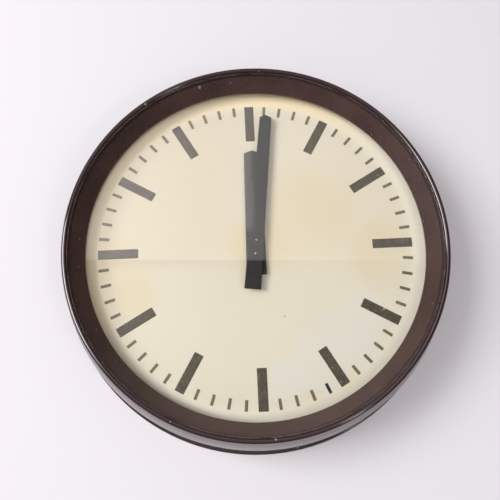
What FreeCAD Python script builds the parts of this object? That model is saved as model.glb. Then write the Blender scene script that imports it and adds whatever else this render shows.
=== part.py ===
import FreeCAD, Part
import math
import os
from types import SimpleNamespace

import Sketcher
from FreeCAD import Placement, Rotation, Vector

# A round wall clock driven by minute impulses: bakelite case, bayonet bezel with a flat glass, dial,
# two hands and the impulse movement behind the dial. Every piece is drawn lying down, x to the right
# and y up as seen from the front, z from the wall towards the viewer, and is then stood up.

SIZES = {
    # Gaps between pieces
    "overrun": 1.0,
    "seat_gap": 0.02,
    "running_gap": 0.05,
    "turning_gap": 0.3,
    "side_gap": 0.4,
    # Case, widths counted outwards from the bezel's collar
    "collar_gap": 0.7,
    "spigot_wall": 2.8,
    "spigot_nose": 3.1,
    "shoulder_width": 4.2,
    "case_draft": 1.4,
    "flange_reach": 7.0,
    "flange_thickness": 4.0,
    "flange_round": 1.2,
    "foot_ring_width": 17.0,
    "back_thickness": 5.0,
    "back_pad_radius": 60.0,
    "recess_depth": 2.0,
    # Bayonet of the bezel on the case
    "bayonet_count": 3,
    "rim_height": 2.1,
    "bayonet_gap": 0.5,
    "skirt_gap": 0.9,
    "rim_thickness": 3.0,
    "rim_span": 100.0,
    "lug_lift": 0.6,
    "lug_thickness": 3.0,
    "lug_span": 16.0,
    "lug_angle": 38.0,
    "stop_span": 3.0,
    "stop_reach": 1.7,
    "stop_slack": 0.3,
    # Bezel
    "opening_radius": 138.7,
    "lip_round": 0.5,
    "lip_thickness": 1.8,
    "lip_width": 2.9,
    "lip_gap": 0.6,
    "funnel_slope": 48.85,
    "groove_width": 0.9,
    "groove_depth": 0.5,
    "bead_lift": 2.8,
    "bead_radius": 2.4,
    "skirt_flare": 13.0,
    "skirt_wall": 3.0,
    "skirt_round": 1.0,
    "cavity_roof": 3.5,
    "collar_wall": 2.5,
    # Glass and what holds it
    "glass_rebate": 7.4,
    "glass_thickness": 2.5,
    "glass_clearance": 1.3,
    "gasket_width": 2.6,
    "gasket_thickness": 3.1,
    "ring_thickness": 1.0,
    "ring_screw_count": 6,
    "ring_screw_radius": 0.7,
    "ring_screw_length": 5.0,
    "ring_screw_head_radius": 1.2,
    "ring_screw_head_height": 0.9,
    # Dial
    "motion_room": 5.0,
    "dial_thickness": 1.0,
    "dial_hole_radius": 5.5,
    "dial_boss_radius": 4.2,
    "dial_boss_inset": 2.7,
    "dial_boss_count": 6,
    "dial_screw_radius": 1.4,
    "dial_screw_length": 9.0,
    "dial_screw_head_radius": 2.2,
    "dial_screw_head_height": 1.3,
    "mark_inset": 7.6,
    "mark_thickness": 0.1,
    "hour_mark_count": 12,
    "hour_mark_length": 33.3,
    "hour_mark_width": 7.9,
    "minutes_per_hour_mark": 5,
    "minute_mark_length": 8.6,
    "minute_mark_width": 2.5,
    # Hands
    "hand_thickness": 1.0,
    "hand_edge_width": 0.6,
    "hand_edge_drop": 0.3,
    "hour_hand_lift": 3.0,
    "hour_tip_gap": 10.3,
    "hour_tip_width": 14.2,
    "hour_tail_length": 23.0,
    "hour_tail_width": 16.6,
    "hour_point": 2.8,
    "hour_angle": 0.5,
    "hand_gap": 1.8,
    "minute_tip_gap": 2.2,
    "minute_tip_width": 10.2,
    "minute_tail_length": 35.5,
    "minute_tail_width": 13.6,
    "minute_point": 2.4,
    "minute_angle": 6.9,
    "hand_rivet_offset": 5.8,
    "hand_rivet_radius": 0.5,
    "hand_rivet_head_radius": 0.75,
    "hand_rivet_head_height": 0.3,
    "boss_plate_thickness": 0.6,
    "minute_boss_width": 9.0,
    "minute_boss_end": 2.0,
    "minute_boss_radius": 3.6,
    "hour_collet_length": 2.4,
    "hour_collet_radius": 4.6,
    "hour_collet_edge": 1.2,
    # Hanger plate in the back
    "hanger_inset": 44.0,
    "hanger_width": 40.0,
    "hanger_length": 34.0,
    "hanger_corner": 4.0,
    "hanger_thickness": 1.5,
    "keyhole_radius": 5.5,
    "keyhole_slot_width": 6.0,
    "keyhole_drop": 6.0,
    "keyhole_rise": 6.5,
    "head_room": 2.0,
    "hanger_screw_offset": 14.5,
    "hanger_screw_radius": 1.4,
    "hanger_screw_head_radius": 2.7,
    # Cable entry
    "cable_gap": 16.0,
    "cable_bore_radius": 3.5,
    "grommet_neck_radius": 6.5,
    "grommet_flange_radius": 8.5,
    "grommet_flange_thickness": 1.6,
    # Terminal block
    "terminal_gap": 3.5,
    "terminal_width": 38.0,
    "terminal_height": 14.0,
    "terminal_depth": 12.0,
    "terminal_pitch": 8.0,
    "terminal_screw_radius": 1.5,
    "terminal_screw_length": 6.0,
    "terminal_screw_head_radius": 2.6,
    "terminal_screw_head_height": 1.6,
    "terminal_fixing_inset": 4.0,
    "terminal_fixing_radius": 1.2,
    "terminal_fixing_hold": 2.0,
    "terminal_fixing_head_radius": 2.3,
    "terminal_fixing_head_height": 1.5,
    "lead_radius": 0.9,
    # Movement frame
    "movement_standoff": 2.5,
    "movement_boss_radius": 4.5,
    "plate_thickness": 1.5,
    "plate_corner": 5.0,
    "plate_top": 32.0,
    "plate_foot_gap": 3.0,
    "plate_margin": 4.0,
    "pillar_gap": 1.8,
    "pillar_inset": 5.0,
    "pillar_radius": 3.2,
    "pillar_screw_radius": 1.2,
    "pillar_screw_length": 6.0,
    "pillar_screw_head_radius": 2.5,
    "pillar_screw_head_height": 1.3,
    "movement_screw_reach": 3.5,
    "movement_screw_top": 12.0,
    "movement_screw_bottom": 42.0,
    "movement_screw_radius": 1.5,
    "movement_screw_length": 5.5,
    "movement_screw_head_radius": 2.8,
    "movement_screw_head_height": 1.7,
    "bush_wall": 1.4,
    "bush_lip": 0.3,
    # Gear train
    "tooth_addendum_share": 0.9,
    "tooth_dedendum_share": 1.25,
    "pressure_angle": 20.0,
    "backlash": 0.08,
    "coarse_module": 0.5,
    "wheel_thickness": 1.2,
    "pinion_teeth": 16,
    "centre_teeth": 96,
    "hour_teeth": 64,
    "minute_wheel_teeth": 48,
    "intermediate_teeth": 80,
    "motion_angle": 150.0,
    "drive_angle": 270.0,
    "arbor_radius": 1.25,
    "arbor_tail": 1.5,
    "arbor_end_gap": 0.8,
    "pinion_arbor_radius": 1.0,
    "rotor_shaft_radius": 0.8,
    "shaft_tail": 0.3,
    "cannon_lift": 0.6,
    "cannon_gear_height": 1.6,
    "cannon_pipe_radius": 2.0,
    "hour_pipe_wall": 0.9,
    "hour_wheel_lift": 0.4,
    "stud_radius": 1.2,
    "stud_foot_radius": 2.4,
    "stud_foot_height": 0.6,
    "stud_end_gap": 0.5,
    "motion_pinion_height": 2.2,
    "centre_wheel_gap": 2.9,
    "centre_hub_radius": 4.0,
    "centre_hub_height": 2.0,
    "spoke_hole_count": 6,
    "spoke_hole_radius": 4.5,
    "spoke_hole_circle": 14.0,
    "pinion_overlap": 1.2,
    # Drive motor
    "rotor_radius": 6.5,
    "rotor_height": 7.0,
    "rotor_front_gap": 3.0,
    "rotor_hub_radius": 2.4,
    "rotor_pinion_height": 2.0,
    "air_gap": 0.8,
    "pole_lift": 2.5,
    "pole_thickness": 4.0,
    "pole_half_width": 22.0,
    "pole_tip_gap": 6.0,
    "pole_half_height": 11.0,
    "leg_width": 6.0,
    "coil_gap": 7.8,
    "leg_foot": 5.0,
    "pole_hole_inset": 5.0,
    "pole_hole_rise": 6.0,
    "pole_screw_radius": 1.5,
    "pole_screw_length": 8.0,
    "pole_screw_head_radius": 2.7,
    "pole_screw_head_height": 1.6,
    "spacer_radius": 2.7,
    "core_radius": 3.0,
    "bobbin_wall": 1.0,
    "bobbin_flange_radius": 8.0,
    "bobbin_flange_thickness": 1.2,
    "winding_radius": 7.2,
    "core_screw_radius": 1.2,
    "core_screw_length": 12.0,
    "core_screw_head_radius": 2.0,
    "core_screw_head_height": 1.4,
    # Slots in the screw heads
    "slot_width_share": 0.3,
    "slot_depth_share": 0.5,
}

doc = FreeCAD.newDocument("slave_clock")
sheet = doc.addObject("Spreadsheet::Sheet", "Sizes")
for row, (alias, amount) in enumerate(SIZES.items(), start=1):
    sheet.set(f"A{row}", alias)
    sheet.set(f"B{row}", str(amount))
    sheet.setAlias(f"B{row}", alias)
doc.recompute()


class Size:
    """A length, angle or count with its number and the formula that ties it to the sheet."""

    def __init__(self, number, formula):
        self.number = number
        self.formula = formula

    def __add__(self, other):
        return Size(self.number + number(other), f"({self.formula} + {formula(other)})")

    def __radd__(self, other):
        return self + other

    def __sub__(self, other):
        return Size(self.number - number(other), f"({self.formula} - {formula(other)})")

    def __mul__(self, other):
        return Size(self.number * number(other), f"({self.formula} * {formula(other)})")

    def __rmul__(self, other):
        return self * other

    def __rsub__(self, other):
        return Size(number(other) - self.number, f"({formula(other)} - {self.formula})")

    def __truediv__(self, other):
        return Size(self.number / number(other), f"({self.formula} / {formula(other)})")

    def __rtruediv__(self, other):
        return Size(number(other) / self.number, f"({formula(other)} / {self.formula})")

    def __neg__(self):
        return Size(-self.number, f"(-{self.formula})")


def number(size):
    return size.number if isinstance(size, Size) else size


def formula(size):
    return size.formula if isinstance(size, Size) else repr(size)


def trig(name, function, angle):
    return Size(function(math.radians(number(angle))), f"{name}({formula(angle)} * 1 deg)")


def sine(angle):
    return trig("sin", math.sin, angle)


def cosine(angle):
    return trig("cos", math.cos, angle)


def tangent(angle):
    return trig("tan", math.tan, angle)


s = SimpleNamespace(**{name: Size(sheet.get(name), f"Sizes.{name}") for name in SIZES})

QUARTER = 90
HALF_TURN = 180
FULL_TURN = 360
LEFT = 1
RIGHT = -1
BEND_SHARE = 0.45
LEAD_RUN_SHARE = 0.36
STAND = Placement(Vector(0, 0, 0), Rotation(Vector(1, 0, 0), QUARTER))
nodes = {}


def bind(target, path, size):
    """Tie one property to the sheet; a plain zero needs no tie."""
    if isinstance(size, Size):
        target.setExpression(path, size.formula)


def origin_feature(body, role):
    return next(item for item in body.Origin.OriginFeatures if item.Role == role)


def new_body(label, master=False):
    """An empty body, stood up against the wall unless it is the master of a set of copies."""
    body = doc.addObject("PartDesign::Body", label)
    body.Label = label
    body.AllowCompound = True
    if not master:
        body.Placement = STAND
        nodes[label] = body
    return body


def circle(x, y, radius):
    return SimpleNamespace(x=x, y=y, radius=radius)


def polar(radius, angle):
    return radius * cosine(angle), radius * sine(angle)


def hold_point(sketch, edge, end, x, y):
    """Place one point of a sketch at its own distances from the sketch's two axes."""
    for kind, axis, place in (("DistanceX", -2, x), ("DistanceY", -1, y)):
        if isinstance(place, Size):
            rule = Sketcher.Constraint(kind, -1, 1, edge, end, place.number)
            bind(sketch, f"Constraints[{sketch.addConstraint(rule)}]", place)
        else:
            sketch.addConstraint(Sketcher.Constraint("PointOnObject", edge, end, axis))


def add_arc(sketch, start, end, radius, side):
    """An arc under a half circle that bulges to one side of the way from start to end."""
    chord = end - start
    half = chord.Length / 2
    across = Vector(-chord.y, chord.x, 0).normalize()
    centre = (start + end) * 0.5 - across * side * math.sqrt(number(radius) ** 2 - half**2)
    first, last = (end, start) if side == LEFT else (start, end)
    angles = [math.atan2(point.y - centre.y, point.x - centre.x) for point in (first, last)]
    whole = Part.Circle(centre, Vector(0, 0, 1), number(radius))
    edge = sketch.addGeometry(Part.ArcOfCircle(whole, angles[0], angles[1]))
    rule = Sketcher.Constraint("Radius", edge, number(radius))
    bind(sketch, f"Constraints[{sketch.addConstraint(rule)}]", radius)
    return (edge, 2, 1) if side == LEFT else (edge, 1, 2)


def draw_outline(sketch, outline):
    """A closed outline: corners (x, y), or (x, y, radius, side) where an arc arrives at the corner."""
    points = [Vector(number(corner[0]), number(corner[1]), 0) for corner in outline]
    edges = []
    for index, start in enumerate(points):
        after = (index + 1) % len(points)
        bend = outline[after][2:]
        if bend:
            edges.append(add_arc(sketch, start, points[after], *bend))
        else:
            edges.append((sketch.addGeometry(Part.LineSegment(start, points[after])), 1, 2))
    for index, (edge, begin, finish) in enumerate(edges):
        following = edges[(index + 1) % len(edges)]
        sketch.addConstraint(Sketcher.Constraint("Coincident", edge, finish, following[0], following[1]))
        hold_point(sketch, edge, begin, outline[index][0], outline[index][1])


def draw_circle(sketch, ring):
    centre = Vector(number(ring.x), number(ring.y), 0)
    edge = sketch.addGeometry(Part.Circle(centre, Vector(0, 0, 1), number(ring.radius)))
    rule = Sketcher.Constraint("Radius", edge, number(ring.radius))
    bind(sketch, f"Constraints[{sketch.addConstraint(rule)}]", ring.radius)
    hold_point(sketch, edge, 3, ring.x, ring.y)


def new_sketch(body, role, shapes, lift=0):
    sketch = body.newObject("Sketcher::SketchObject", f"{body.Name}_sketch")
    sketch.AttachmentSupport = [(origin_feature(body, role), "")]
    sketch.MapMode = "FlatFace"
    bind(sketch, "AttachmentOffset.Base.z", lift)
    for shape in shapes:
        if isinstance(shape, list):
            draw_outline(sketch, shape)
        else:
            draw_circle(sketch, shape)
    return sketch


def pad(body, shapes, base, height):
    """Raise flat outlines from the depth base by the given height."""
    feature = body.newObject("PartDesign::Pad", f"{body.Name}_pad")
    feature.Profile = new_sketch(body, "XY_Plane", shapes, base)
    bind(feature, "Length", height)
    doc.recompute()
    return feature


def pocket(body, shapes, top, depth):
    """Cut flat outlines from the depth top back towards the wall, and see that material went."""
    before = body.Shape.Volume
    feature = body.newObject("PartDesign::Pocket", f"{body.Name}_pocket")
    feature.Profile = new_sketch(body, "XY_Plane", shapes, top)
    bind(feature, "Length", depth)
    doc.recompute()
    if body.Shape.Volume >= before:
        raise RuntimeError(f"{body.Label}: a pocket cut nothing")
    return feature


def revolve(body, outline):
    """Turn an outline of radius and depth about the hand axis."""
    feature = body.newObject("PartDesign::Revolution", f"{body.Name}_turned")
    sketch = new_sketch(body, "XZ_Plane", [outline])
    feature.Profile = sketch
    feature.ReferenceAxis = (sketch, ["V_Axis"])
    feature.Angle = FULL_TURN
    doc.recompute()
    return feature


def repeat(body, feature, count, sweep=FULL_TURN):
    """Repeat one feature round the hand axis."""
    pattern = body.newObject("PartDesign::PolarPattern", f"{body.Name}_round")
    pattern.Originals = [feature]
    pattern.Axis = (origin_feature(body, "Z_Axis"), [""])
    pattern.Angle = sweep
    bind(pattern, "Occurrences", count)
    body.Tip = pattern
    doc.recompute()
    return pattern


def copies(label, master, places, turns=None):
    """One node of separate solids: the master piece at each (x, y, z), turned as given for each."""
    links = []
    for place, turn in zip(places, turns or [Rotation()] * len(places)):
        link = doc.addObject("App::Link", f"{label}_copy")
        link.LinkedObject = master
        link.LinkTransform = False
        link.Placement = Placement(Vector(*[number(value) for value in place]), turn)
        for axis, value in zip("xyz", place):
            bind(link, f"Placement.Base.{axis}", value)
        links.append(link)
    group = doc.addObject("Part::Compound", label)
    group.Label = label
    group.Links = links
    group.Placement = STAND
    nodes[label] = group


def facing_wall(places):
    """One turn for each place that points a screw's head at the wall."""
    return [Rotation(Vector(1, 0, 0), HALF_TURN)] * len(places)


def sector(inner, outer, middle, span):
    """A piece of a ring between two radii, centred on an angle."""
    first = middle - span / 2
    last = middle + span / 2
    return [
        polar(outer, first),
        (*polar(outer, last), outer, RIGHT),
        polar(inner, last),
        (*polar(inner, first), inner, LEFT),
    ]


def rectangle(left, bottom, right, top):
    return [(left, bottom), (right, bottom), (right, top), (left, top)]


def rounded_rectangle(left, bottom, right, top, corner):
    return [
        (left + corner, bottom, corner, RIGHT),
        (right - corner, bottom),
        (right, bottom + corner, corner, RIGHT),
        (right, top - corner),
        (right - corner, top, corner, RIGHT),
        (left + corner, top),
        (left, top - corner, corner, RIGHT),
        (left, bottom + corner),
    ]


def screw(name, shank, length, head, height):
    """A master screw, tip at zero and slotted cheese head at the top."""
    body = new_body(name, master=True)
    top = length + height
    revolve(body, [(0, 0), (shank, 0), (shank, length), (head, length), (head, top), (0, top)])
    half_slot = head * s.slot_width_share / 2
    reach = head + s.overrun
    pocket(body, [rectangle(-reach, -half_slot, reach, half_slot)], top, height * s.slot_depth_share)
    return body


def pairs(half_width, heights):
    """Points to the left and right at each height."""
    return [(side, height) for height in heights for side in (-half_width, half_width)]


# Depths from the wall, stacked from the case back to the glass
back_plate_rear = s.back_thickness + s.movement_standoff
back_plate_front = back_plate_rear + s.plate_thickness
pole_rear = back_plate_front + s.pole_lift
pole_front = pole_rear + s.pole_thickness
coil_depth = pole_rear + s.pole_thickness / 2
magnet_rear = coil_depth - s.rotor_height / 2
magnet_front = coil_depth + s.rotor_height / 2
intermediate_wheel_rear = magnet_front + s.rotor_front_gap
intermediate_wheel_front = intermediate_wheel_rear + s.wheel_thickness
centre_wheel_rear = intermediate_wheel_front + s.pinion_overlap
centre_wheel_front = centre_wheel_rear + s.wheel_thickness
front_plate_rear = centre_wheel_front + s.centre_wheel_gap
front_plate_front = front_plate_rear + s.plate_thickness
plate_gap = front_plate_rear - back_plate_front
dial_back = front_plate_front + s.motion_room
dial_front = dial_back + s.dial_thickness
hour_hand_back = dial_front + s.hour_hand_lift
minute_hand_back = hour_hand_back + s.hand_thickness + s.hand_gap
glass_back = minute_hand_back + s.hand_thickness + s.glass_clearance
glass_front = glass_back + s.glass_thickness
opening_depth = glass_front + s.lip_thickness
collar_rear = glass_back - s.gasket_thickness
ring_back = collar_rear - s.ring_thickness

# Depths of the bayonet, where the bezel's rear edge is level with the dial
skirt_rear = dial_front
shoulder_depth = skirt_rear - s.turning_gap
lug_rear = skirt_rear + s.lug_lift
rim_rear = lug_rear + s.lug_thickness + s.turning_gap
rim_front = rim_rear + s.rim_thickness
spigot_front = rim_front + s.spigot_nose

# Radii from the hand axis, from the dial opening outwards
mark_track_radius = s.opening_radius - s.mark_inset
hour_tip_length = mark_track_radius - s.hour_mark_length - s.hour_tip_gap
minute_tip_length = mark_track_radius - s.minute_mark_length - s.minute_tip_gap
glass_radius = s.opening_radius + s.glass_rebate
collar_bore = glass_radius + s.side_gap
collar_radius = collar_bore + s.collar_wall
case_inner_radius = collar_radius + s.collar_gap
spigot_radius = case_inner_radius + s.spigot_wall
rim_radius = spigot_radius + s.rim_height
skirt_bore_radius = rim_radius + s.bayonet_gap
case_front_radius = spigot_radius + s.shoulder_width
case_rear_radius = case_front_radius + s.case_draft
flange_radius = case_rear_radius + s.flange_reach
recess_radius = flange_radius - s.foot_ring_width
hanger_height = recess_radius - s.hanger_inset

# Places of the arbors and the coil, from the hand axis at zero
fine_module = s.coarse_module * (s.pinion_teeth + s.minute_wheel_teeth) / (s.pinion_teeth + s.hour_teeth)
coarse_pair = s.coarse_module * (s.pinion_teeth + s.minute_wheel_teeth) / 2
stud_place = polar(coarse_pair, s.motion_angle)
drive_reach = s.coarse_module * (s.pinion_teeth + s.centre_teeth) / 2
intermediate_place = polar(drive_reach, s.drive_angle)
rotor_reach = drive_reach + fine_module * (s.pinion_teeth + s.intermediate_teeth) / 2
rotor_place = polar(rotor_reach, s.drive_angle)
coil_drop = rotor_reach + s.pole_half_height + s.coil_gap + s.bobbin_flange_radius
cable_drop = coil_drop + s.bobbin_flange_radius + s.cable_gap
terminal_drop = cable_drop + s.grommet_flange_radius + s.terminal_gap + s.terminal_height / 2

# Outlines of the movement plates
plate_bottom = coil_drop - s.bobbin_flange_radius - s.plate_foot_gap
pillar_half_spacing = s.pole_half_width + s.pillar_gap + s.pillar_radius
front_plate_half_width = pillar_half_spacing + s.plate_margin
movement_screw_half_spacing = front_plate_half_width + s.movement_screw_reach
back_plate_half_width = movement_screw_half_spacing + s.movement_boss_radius

# Places of the fasteners
dial_screw_circle = case_inner_radius - s.dial_boss_inset
dial_screw_places = [
    polar(dial_screw_circle, HALF_TURN + FULL_TURN / s.dial_boss_count * index)
    for index in range(SIZES["dial_boss_count"] // 2 + 1)
]
movement_screw_places = pairs(movement_screw_half_spacing, (s.movement_screw_top, -s.movement_screw_bottom))
pillar_places = pairs(pillar_half_spacing, (s.plate_top - s.pillar_inset, s.pillar_inset - plate_bottom))
pole_screw_heights = (s.pole_hole_rise - rotor_reach, -rotor_reach - s.pole_hole_rise)
pole_screw_places = pairs(s.pole_half_width - s.pole_hole_inset, pole_screw_heights)
terminal_fixing_offset = s.terminal_width / 2 - s.terminal_fixing_inset
terminal_fixing_places = pairs(terminal_fixing_offset, (-terminal_drop,))
terminal_offset = terminal_fixing_offset - s.terminal_pitch
terminal_places = pairs(terminal_offset, (-terminal_drop,))
terminal_fixing_length = s.terminal_depth + s.terminal_fixing_hold
hanger_screw_places = pairs(s.hanger_screw_offset, (hanger_height,))
ring_screw_circle = collar_bore + s.collar_wall / 2
ring_screw_places = [
    polar(ring_screw_circle, FULL_TURN / s.ring_screw_count * index)
    for index in range(SIZES["ring_screw_count"])
]

# Keyhole in the hanger plate, entry below and hanging slot above
keyhole_entry = hanger_height - s.keyhole_drop
keyhole_top = hanger_height + s.keyhole_rise


def make_case_body():
    body = new_body("case_body")
    corner = s.flange_round
    revolve(
        body,
        [
            (0, 0),
            (s.back_pad_radius, 0),
            (s.back_pad_radius, s.recess_depth),
            (recess_radius, s.recess_depth),
            (recess_radius, 0),
            (flange_radius, 0),
            (flange_radius, s.flange_thickness - corner),
            (flange_radius - corner, s.flange_thickness, corner, RIGHT),
            (case_rear_radius, s.flange_thickness),
            (case_front_radius, shoulder_depth),
            (spigot_radius, shoulder_depth),
            (spigot_radius, spigot_front),
            (case_inner_radius, spigot_front),
            (case_inner_radius, s.back_thickness),
            (0, s.back_thickness),
        ],
    )
    rooted = case_inner_radius + s.spigot_wall / 2
    rim = sector(rooted, rim_radius, 0 * s.rim_span, s.rim_span)
    repeat(body, pad(body, [rim], rim_rear, s.rim_thickness), s.bayonet_count)
    stop_angle = s.lug_angle - (s.lug_span + s.stop_span) / 2 - s.stop_slack
    stop = sector(rooted, spigot_radius + s.stop_reach, stop_angle, s.stop_span)
    stop_foot = shoulder_depth - s.overrun
    stop_height = rim_rear - stop_foot + s.rim_thickness / 2
    repeat(body, pad(body, [stop], stop_foot, stop_height), s.bayonet_count)
    boss = circle(dial_screw_circle, 0, s.dial_boss_radius)
    repeat(body, pad(body, [boss], s.back_thickness / 2, dial_back - s.back_thickness / 2), s.dial_boss_count)
    feet = [circle(*place, s.movement_boss_radius) for place in movement_screw_places]
    pad(body, feet, s.back_thickness / 2, back_plate_rear - s.back_thickness / 2)
    pocket(
        body,
        [circle(*place, s.dial_screw_radius + s.seat_gap) for place in dial_screw_places],
        dial_back,
        s.dial_screw_length - s.dial_thickness + s.overrun,
    )
    tip_room = s.movement_screw_length - s.plate_thickness + s.running_gap
    pocket(
        body,
        [circle(*place, s.movement_screw_radius + s.seat_gap) for place in movement_screw_places],
        back_plate_rear,
        tip_room,
    )
    through = [circle(0, -cable_drop, s.grommet_neck_radius + s.seat_gap)]
    through += [circle(*place, s.hanger_screw_radius + s.seat_gap) for place in hanger_screw_places]
    half_window = s.keyhole_radius + s.head_room
    window_foot = keyhole_entry - half_window
    window_head = keyhole_top + half_window
    through.append(
        rounded_rectangle(-half_window, window_foot, half_window, window_head, s.hanger_corner)
    )
    pocket(body, through, s.back_thickness, s.back_thickness)
    pocket(
        body,
        [circle(*place, s.terminal_fixing_radius + s.seat_gap) for place in terminal_fixing_places],
        s.back_thickness,
        s.terminal_fixing_hold + s.running_gap,
    )


def make_bezel():
    body = new_body("front_bezel")
    slope = s.funnel_slope
    rise = tangent(slope)
    spread = tangent(s.skirt_flare)
    skirt_radius = rim_radius + s.skirt_gap + s.skirt_wall + (rim_front - skirt_rear) * spread
    # The funnel is as wide as the skirt's cone, the bead and the groove leave it
    bead_span = s.groove_width + s.bead_radius + s.bead_radius * cosine(s.skirt_flare)
    bead_rise = opening_depth + s.bead_lift + s.bead_radius * sine(s.skirt_flare) - skirt_rear
    funnel_room = skirt_radius - s.opening_radius - bead_span - bead_rise * spread
    funnel_width = funnel_room / (rise * spread + 1)
    funnel_outer_radius = s.opening_radius + funnel_width
    funnel_depth = opening_depth + funnel_width * rise
    groove_foot = funnel_depth - s.groove_depth
    bead_inner = funnel_outer_radius + s.groove_width
    bead_circle = bead_inner + s.bead_radius
    bead_depth = funnel_depth + s.bead_lift
    skirt_top_radius = bead_circle + s.bead_radius * cosine(s.skirt_flare)
    skirt_top_depth = bead_depth + s.bead_radius * sine(s.skirt_flare)
    lip_turn = QUARTER - slope
    half_edge_turn = (QUARTER + s.skirt_flare) / 2
    bore_depth = skirt_rear + (skirt_radius - s.skirt_wall - skirt_bore_radius) / spread
    cavity_depth = funnel_depth - s.cavity_roof
    cavity_radius = skirt_radius - (cavity_depth - skirt_rear) * spread - s.skirt_wall
    lip_outer = s.opening_radius + s.lip_width
    lip_back = glass_front + s.lip_gap
    revolve(
        body,
        [
            (s.opening_radius, glass_front),
            (lip_outer, glass_front),
            (lip_outer, lip_back),
            (collar_bore, lip_back + (collar_bore - lip_outer) * rise),
            (collar_bore, collar_rear),
            (collar_radius, collar_rear),
            (collar_radius, cavity_depth),
            (cavity_radius, cavity_depth),
            (skirt_bore_radius, bore_depth),
            (skirt_bore_radius, skirt_rear),
            (skirt_radius - s.skirt_round, skirt_rear),
            (
                skirt_radius - s.skirt_round * sine(s.skirt_flare),
                skirt_rear + s.skirt_round * cosine(s.skirt_flare),
                s.skirt_round / tangent(half_edge_turn),
                RIGHT,
            ),
            (skirt_top_radius, skirt_top_depth),
            (bead_circle, bead_depth + s.bead_radius, s.bead_radius, RIGHT),
            (bead_inner, bead_depth, s.bead_radius, RIGHT),
            (bead_inner, groove_foot),
            (funnel_outer_radius, groove_foot),
            (funnel_outer_radius, funnel_depth),
            (
                s.opening_radius + s.lip_round * cosine(slope),
                opening_depth + s.lip_round * sine(slope),
            ),
            (
                s.opening_radius,
                opening_depth - s.lip_round,
                s.lip_round / tangent(lip_turn / 2),
                RIGHT,
            ),
        ],
    )
    lug = sector(spigot_radius + s.side_gap, skirt_bore_radius + s.skirt_wall / 2, s.lug_angle, s.lug_span)
    repeat(body, pad(body, [lug], lug_rear, s.lug_thickness), s.bayonet_count)
    pocket(
        body,
        [circle(*place, s.ring_screw_radius + s.seat_gap) for place in ring_screw_places],
        collar_rear + s.ring_screw_length,
        s.ring_screw_length + s.overrun,
    )


def make_glazing():
    glass = new_body("front_glass")
    pad(glass, [circle(0, 0, glass_radius)], glass_back, s.glass_thickness)
    gasket = new_body("glass_gasket")
    gasket_outer = glass_radius + s.side_gap / 2
    gasket_inner = gasket_outer - s.gasket_width
    pad(
        gasket,
        [circle(0, 0, gasket_outer), circle(0, 0, gasket_inner)],
        collar_rear,
        glass_back - collar_rear,
    )
    ring = new_body("glass_retaining_ring")
    holes = [circle(*place, s.ring_screw_radius + s.running_gap) for place in ring_screw_places]
    pad(ring, [circle(0, 0, collar_radius), circle(0, 0, gasket_inner), *holes], ring_back, s.ring_thickness)
    master = screw(
        "ring_screw",
        s.ring_screw_radius,
        s.ring_screw_length,
        s.ring_screw_head_radius,
        s.ring_screw_head_height,
    )
    tips = [(*place, ring_back + s.ring_screw_length) for place in ring_screw_places]
    copies("ring_screws", master, tips, facing_wall(tips))


def make_hanger():
    plate = new_body("hanger_plate")
    plate_rear = s.recess_depth - s.hanger_thickness
    half_width = s.hanger_width / 2
    half_length = s.hanger_length / 2
    blank = rounded_rectangle(
        -half_width,
        hanger_height - half_length,
        half_width,
        hanger_height + half_length,
        s.hanger_corner,
    )
    pad(plate, [blank], plate_rear, s.hanger_thickness)
    pocket(plate, [circle(0, keyhole_entry, s.keyhole_radius)], s.recess_depth, s.hanger_thickness)
    half_slot = s.keyhole_slot_width / 2
    slot = [
        (-half_slot, keyhole_entry),
        (half_slot, keyhole_entry),
        (half_slot, keyhole_top),
        (0, keyhole_top + half_slot, half_slot, RIGHT),
        (-half_slot, keyhole_top, half_slot, RIGHT),
    ]
    pocket(plate, [slot], s.recess_depth, s.hanger_thickness)
    master = new_body("hanger_screw", master=True)
    cone = s.hanger_screw_head_radius - s.hanger_screw_radius
    shank = s.hanger_screw_radius
    length = s.back_thickness - plate_rear
    revolve(
        master,
        [
            (0, 0),
            (shank, 0),
            (shank, length - cone),
            (s.hanger_screw_head_radius, length),
            (0, length),
        ],
    )
    half_mark = s.hanger_screw_head_radius * s.slot_width_share / 2
    reach = s.hanger_screw_head_radius
    pocket(master, [rectangle(-reach, -half_mark, reach, half_mark)], length, cone * s.slot_depth_share)
    tips = [(*place, s.back_thickness) for place in hanger_screw_places]
    copies("hanger_screws", master, tips, facing_wall(tips))
    sink = s.hanger_screw_head_radius + s.seat_gap
    hole = s.hanger_screw_radius + s.seat_gap
    flank = [(sink, plate_rear), (hole, plate_rear + cone), (hole, s.recess_depth)]
    for x, y in hanger_screw_places:
        outline = [(x, plate_rear), *[(x + radius, depth) for radius, depth in flank], (x, s.recess_depth)]
        sketch = new_sketch(plate, "XZ_Plane", [outline], -y)
        axis = Part.LineSegment(Vector(number(x), 0, 0), Vector(number(x), number(s.recess_depth), 0))
        edge = sketch.addGeometry(axis, True)
        hold_point(sketch, edge, 1, x, 0)
        hold_point(sketch, edge, 2, x, s.recess_depth)
        before = plate.Shape.Volume
        groove = plate.newObject("PartDesign::Groove", "hanger_plate_countersink")
        groove.Profile = sketch
        groove.ReferenceAxis = (sketch, ["Axis0"])
        groove.Angle = FULL_TURN
        doc.recompute()
        if plate.Shape.Volume >= before:
            raise RuntimeError("hanger_plate: a countersink cut nothing")


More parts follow.
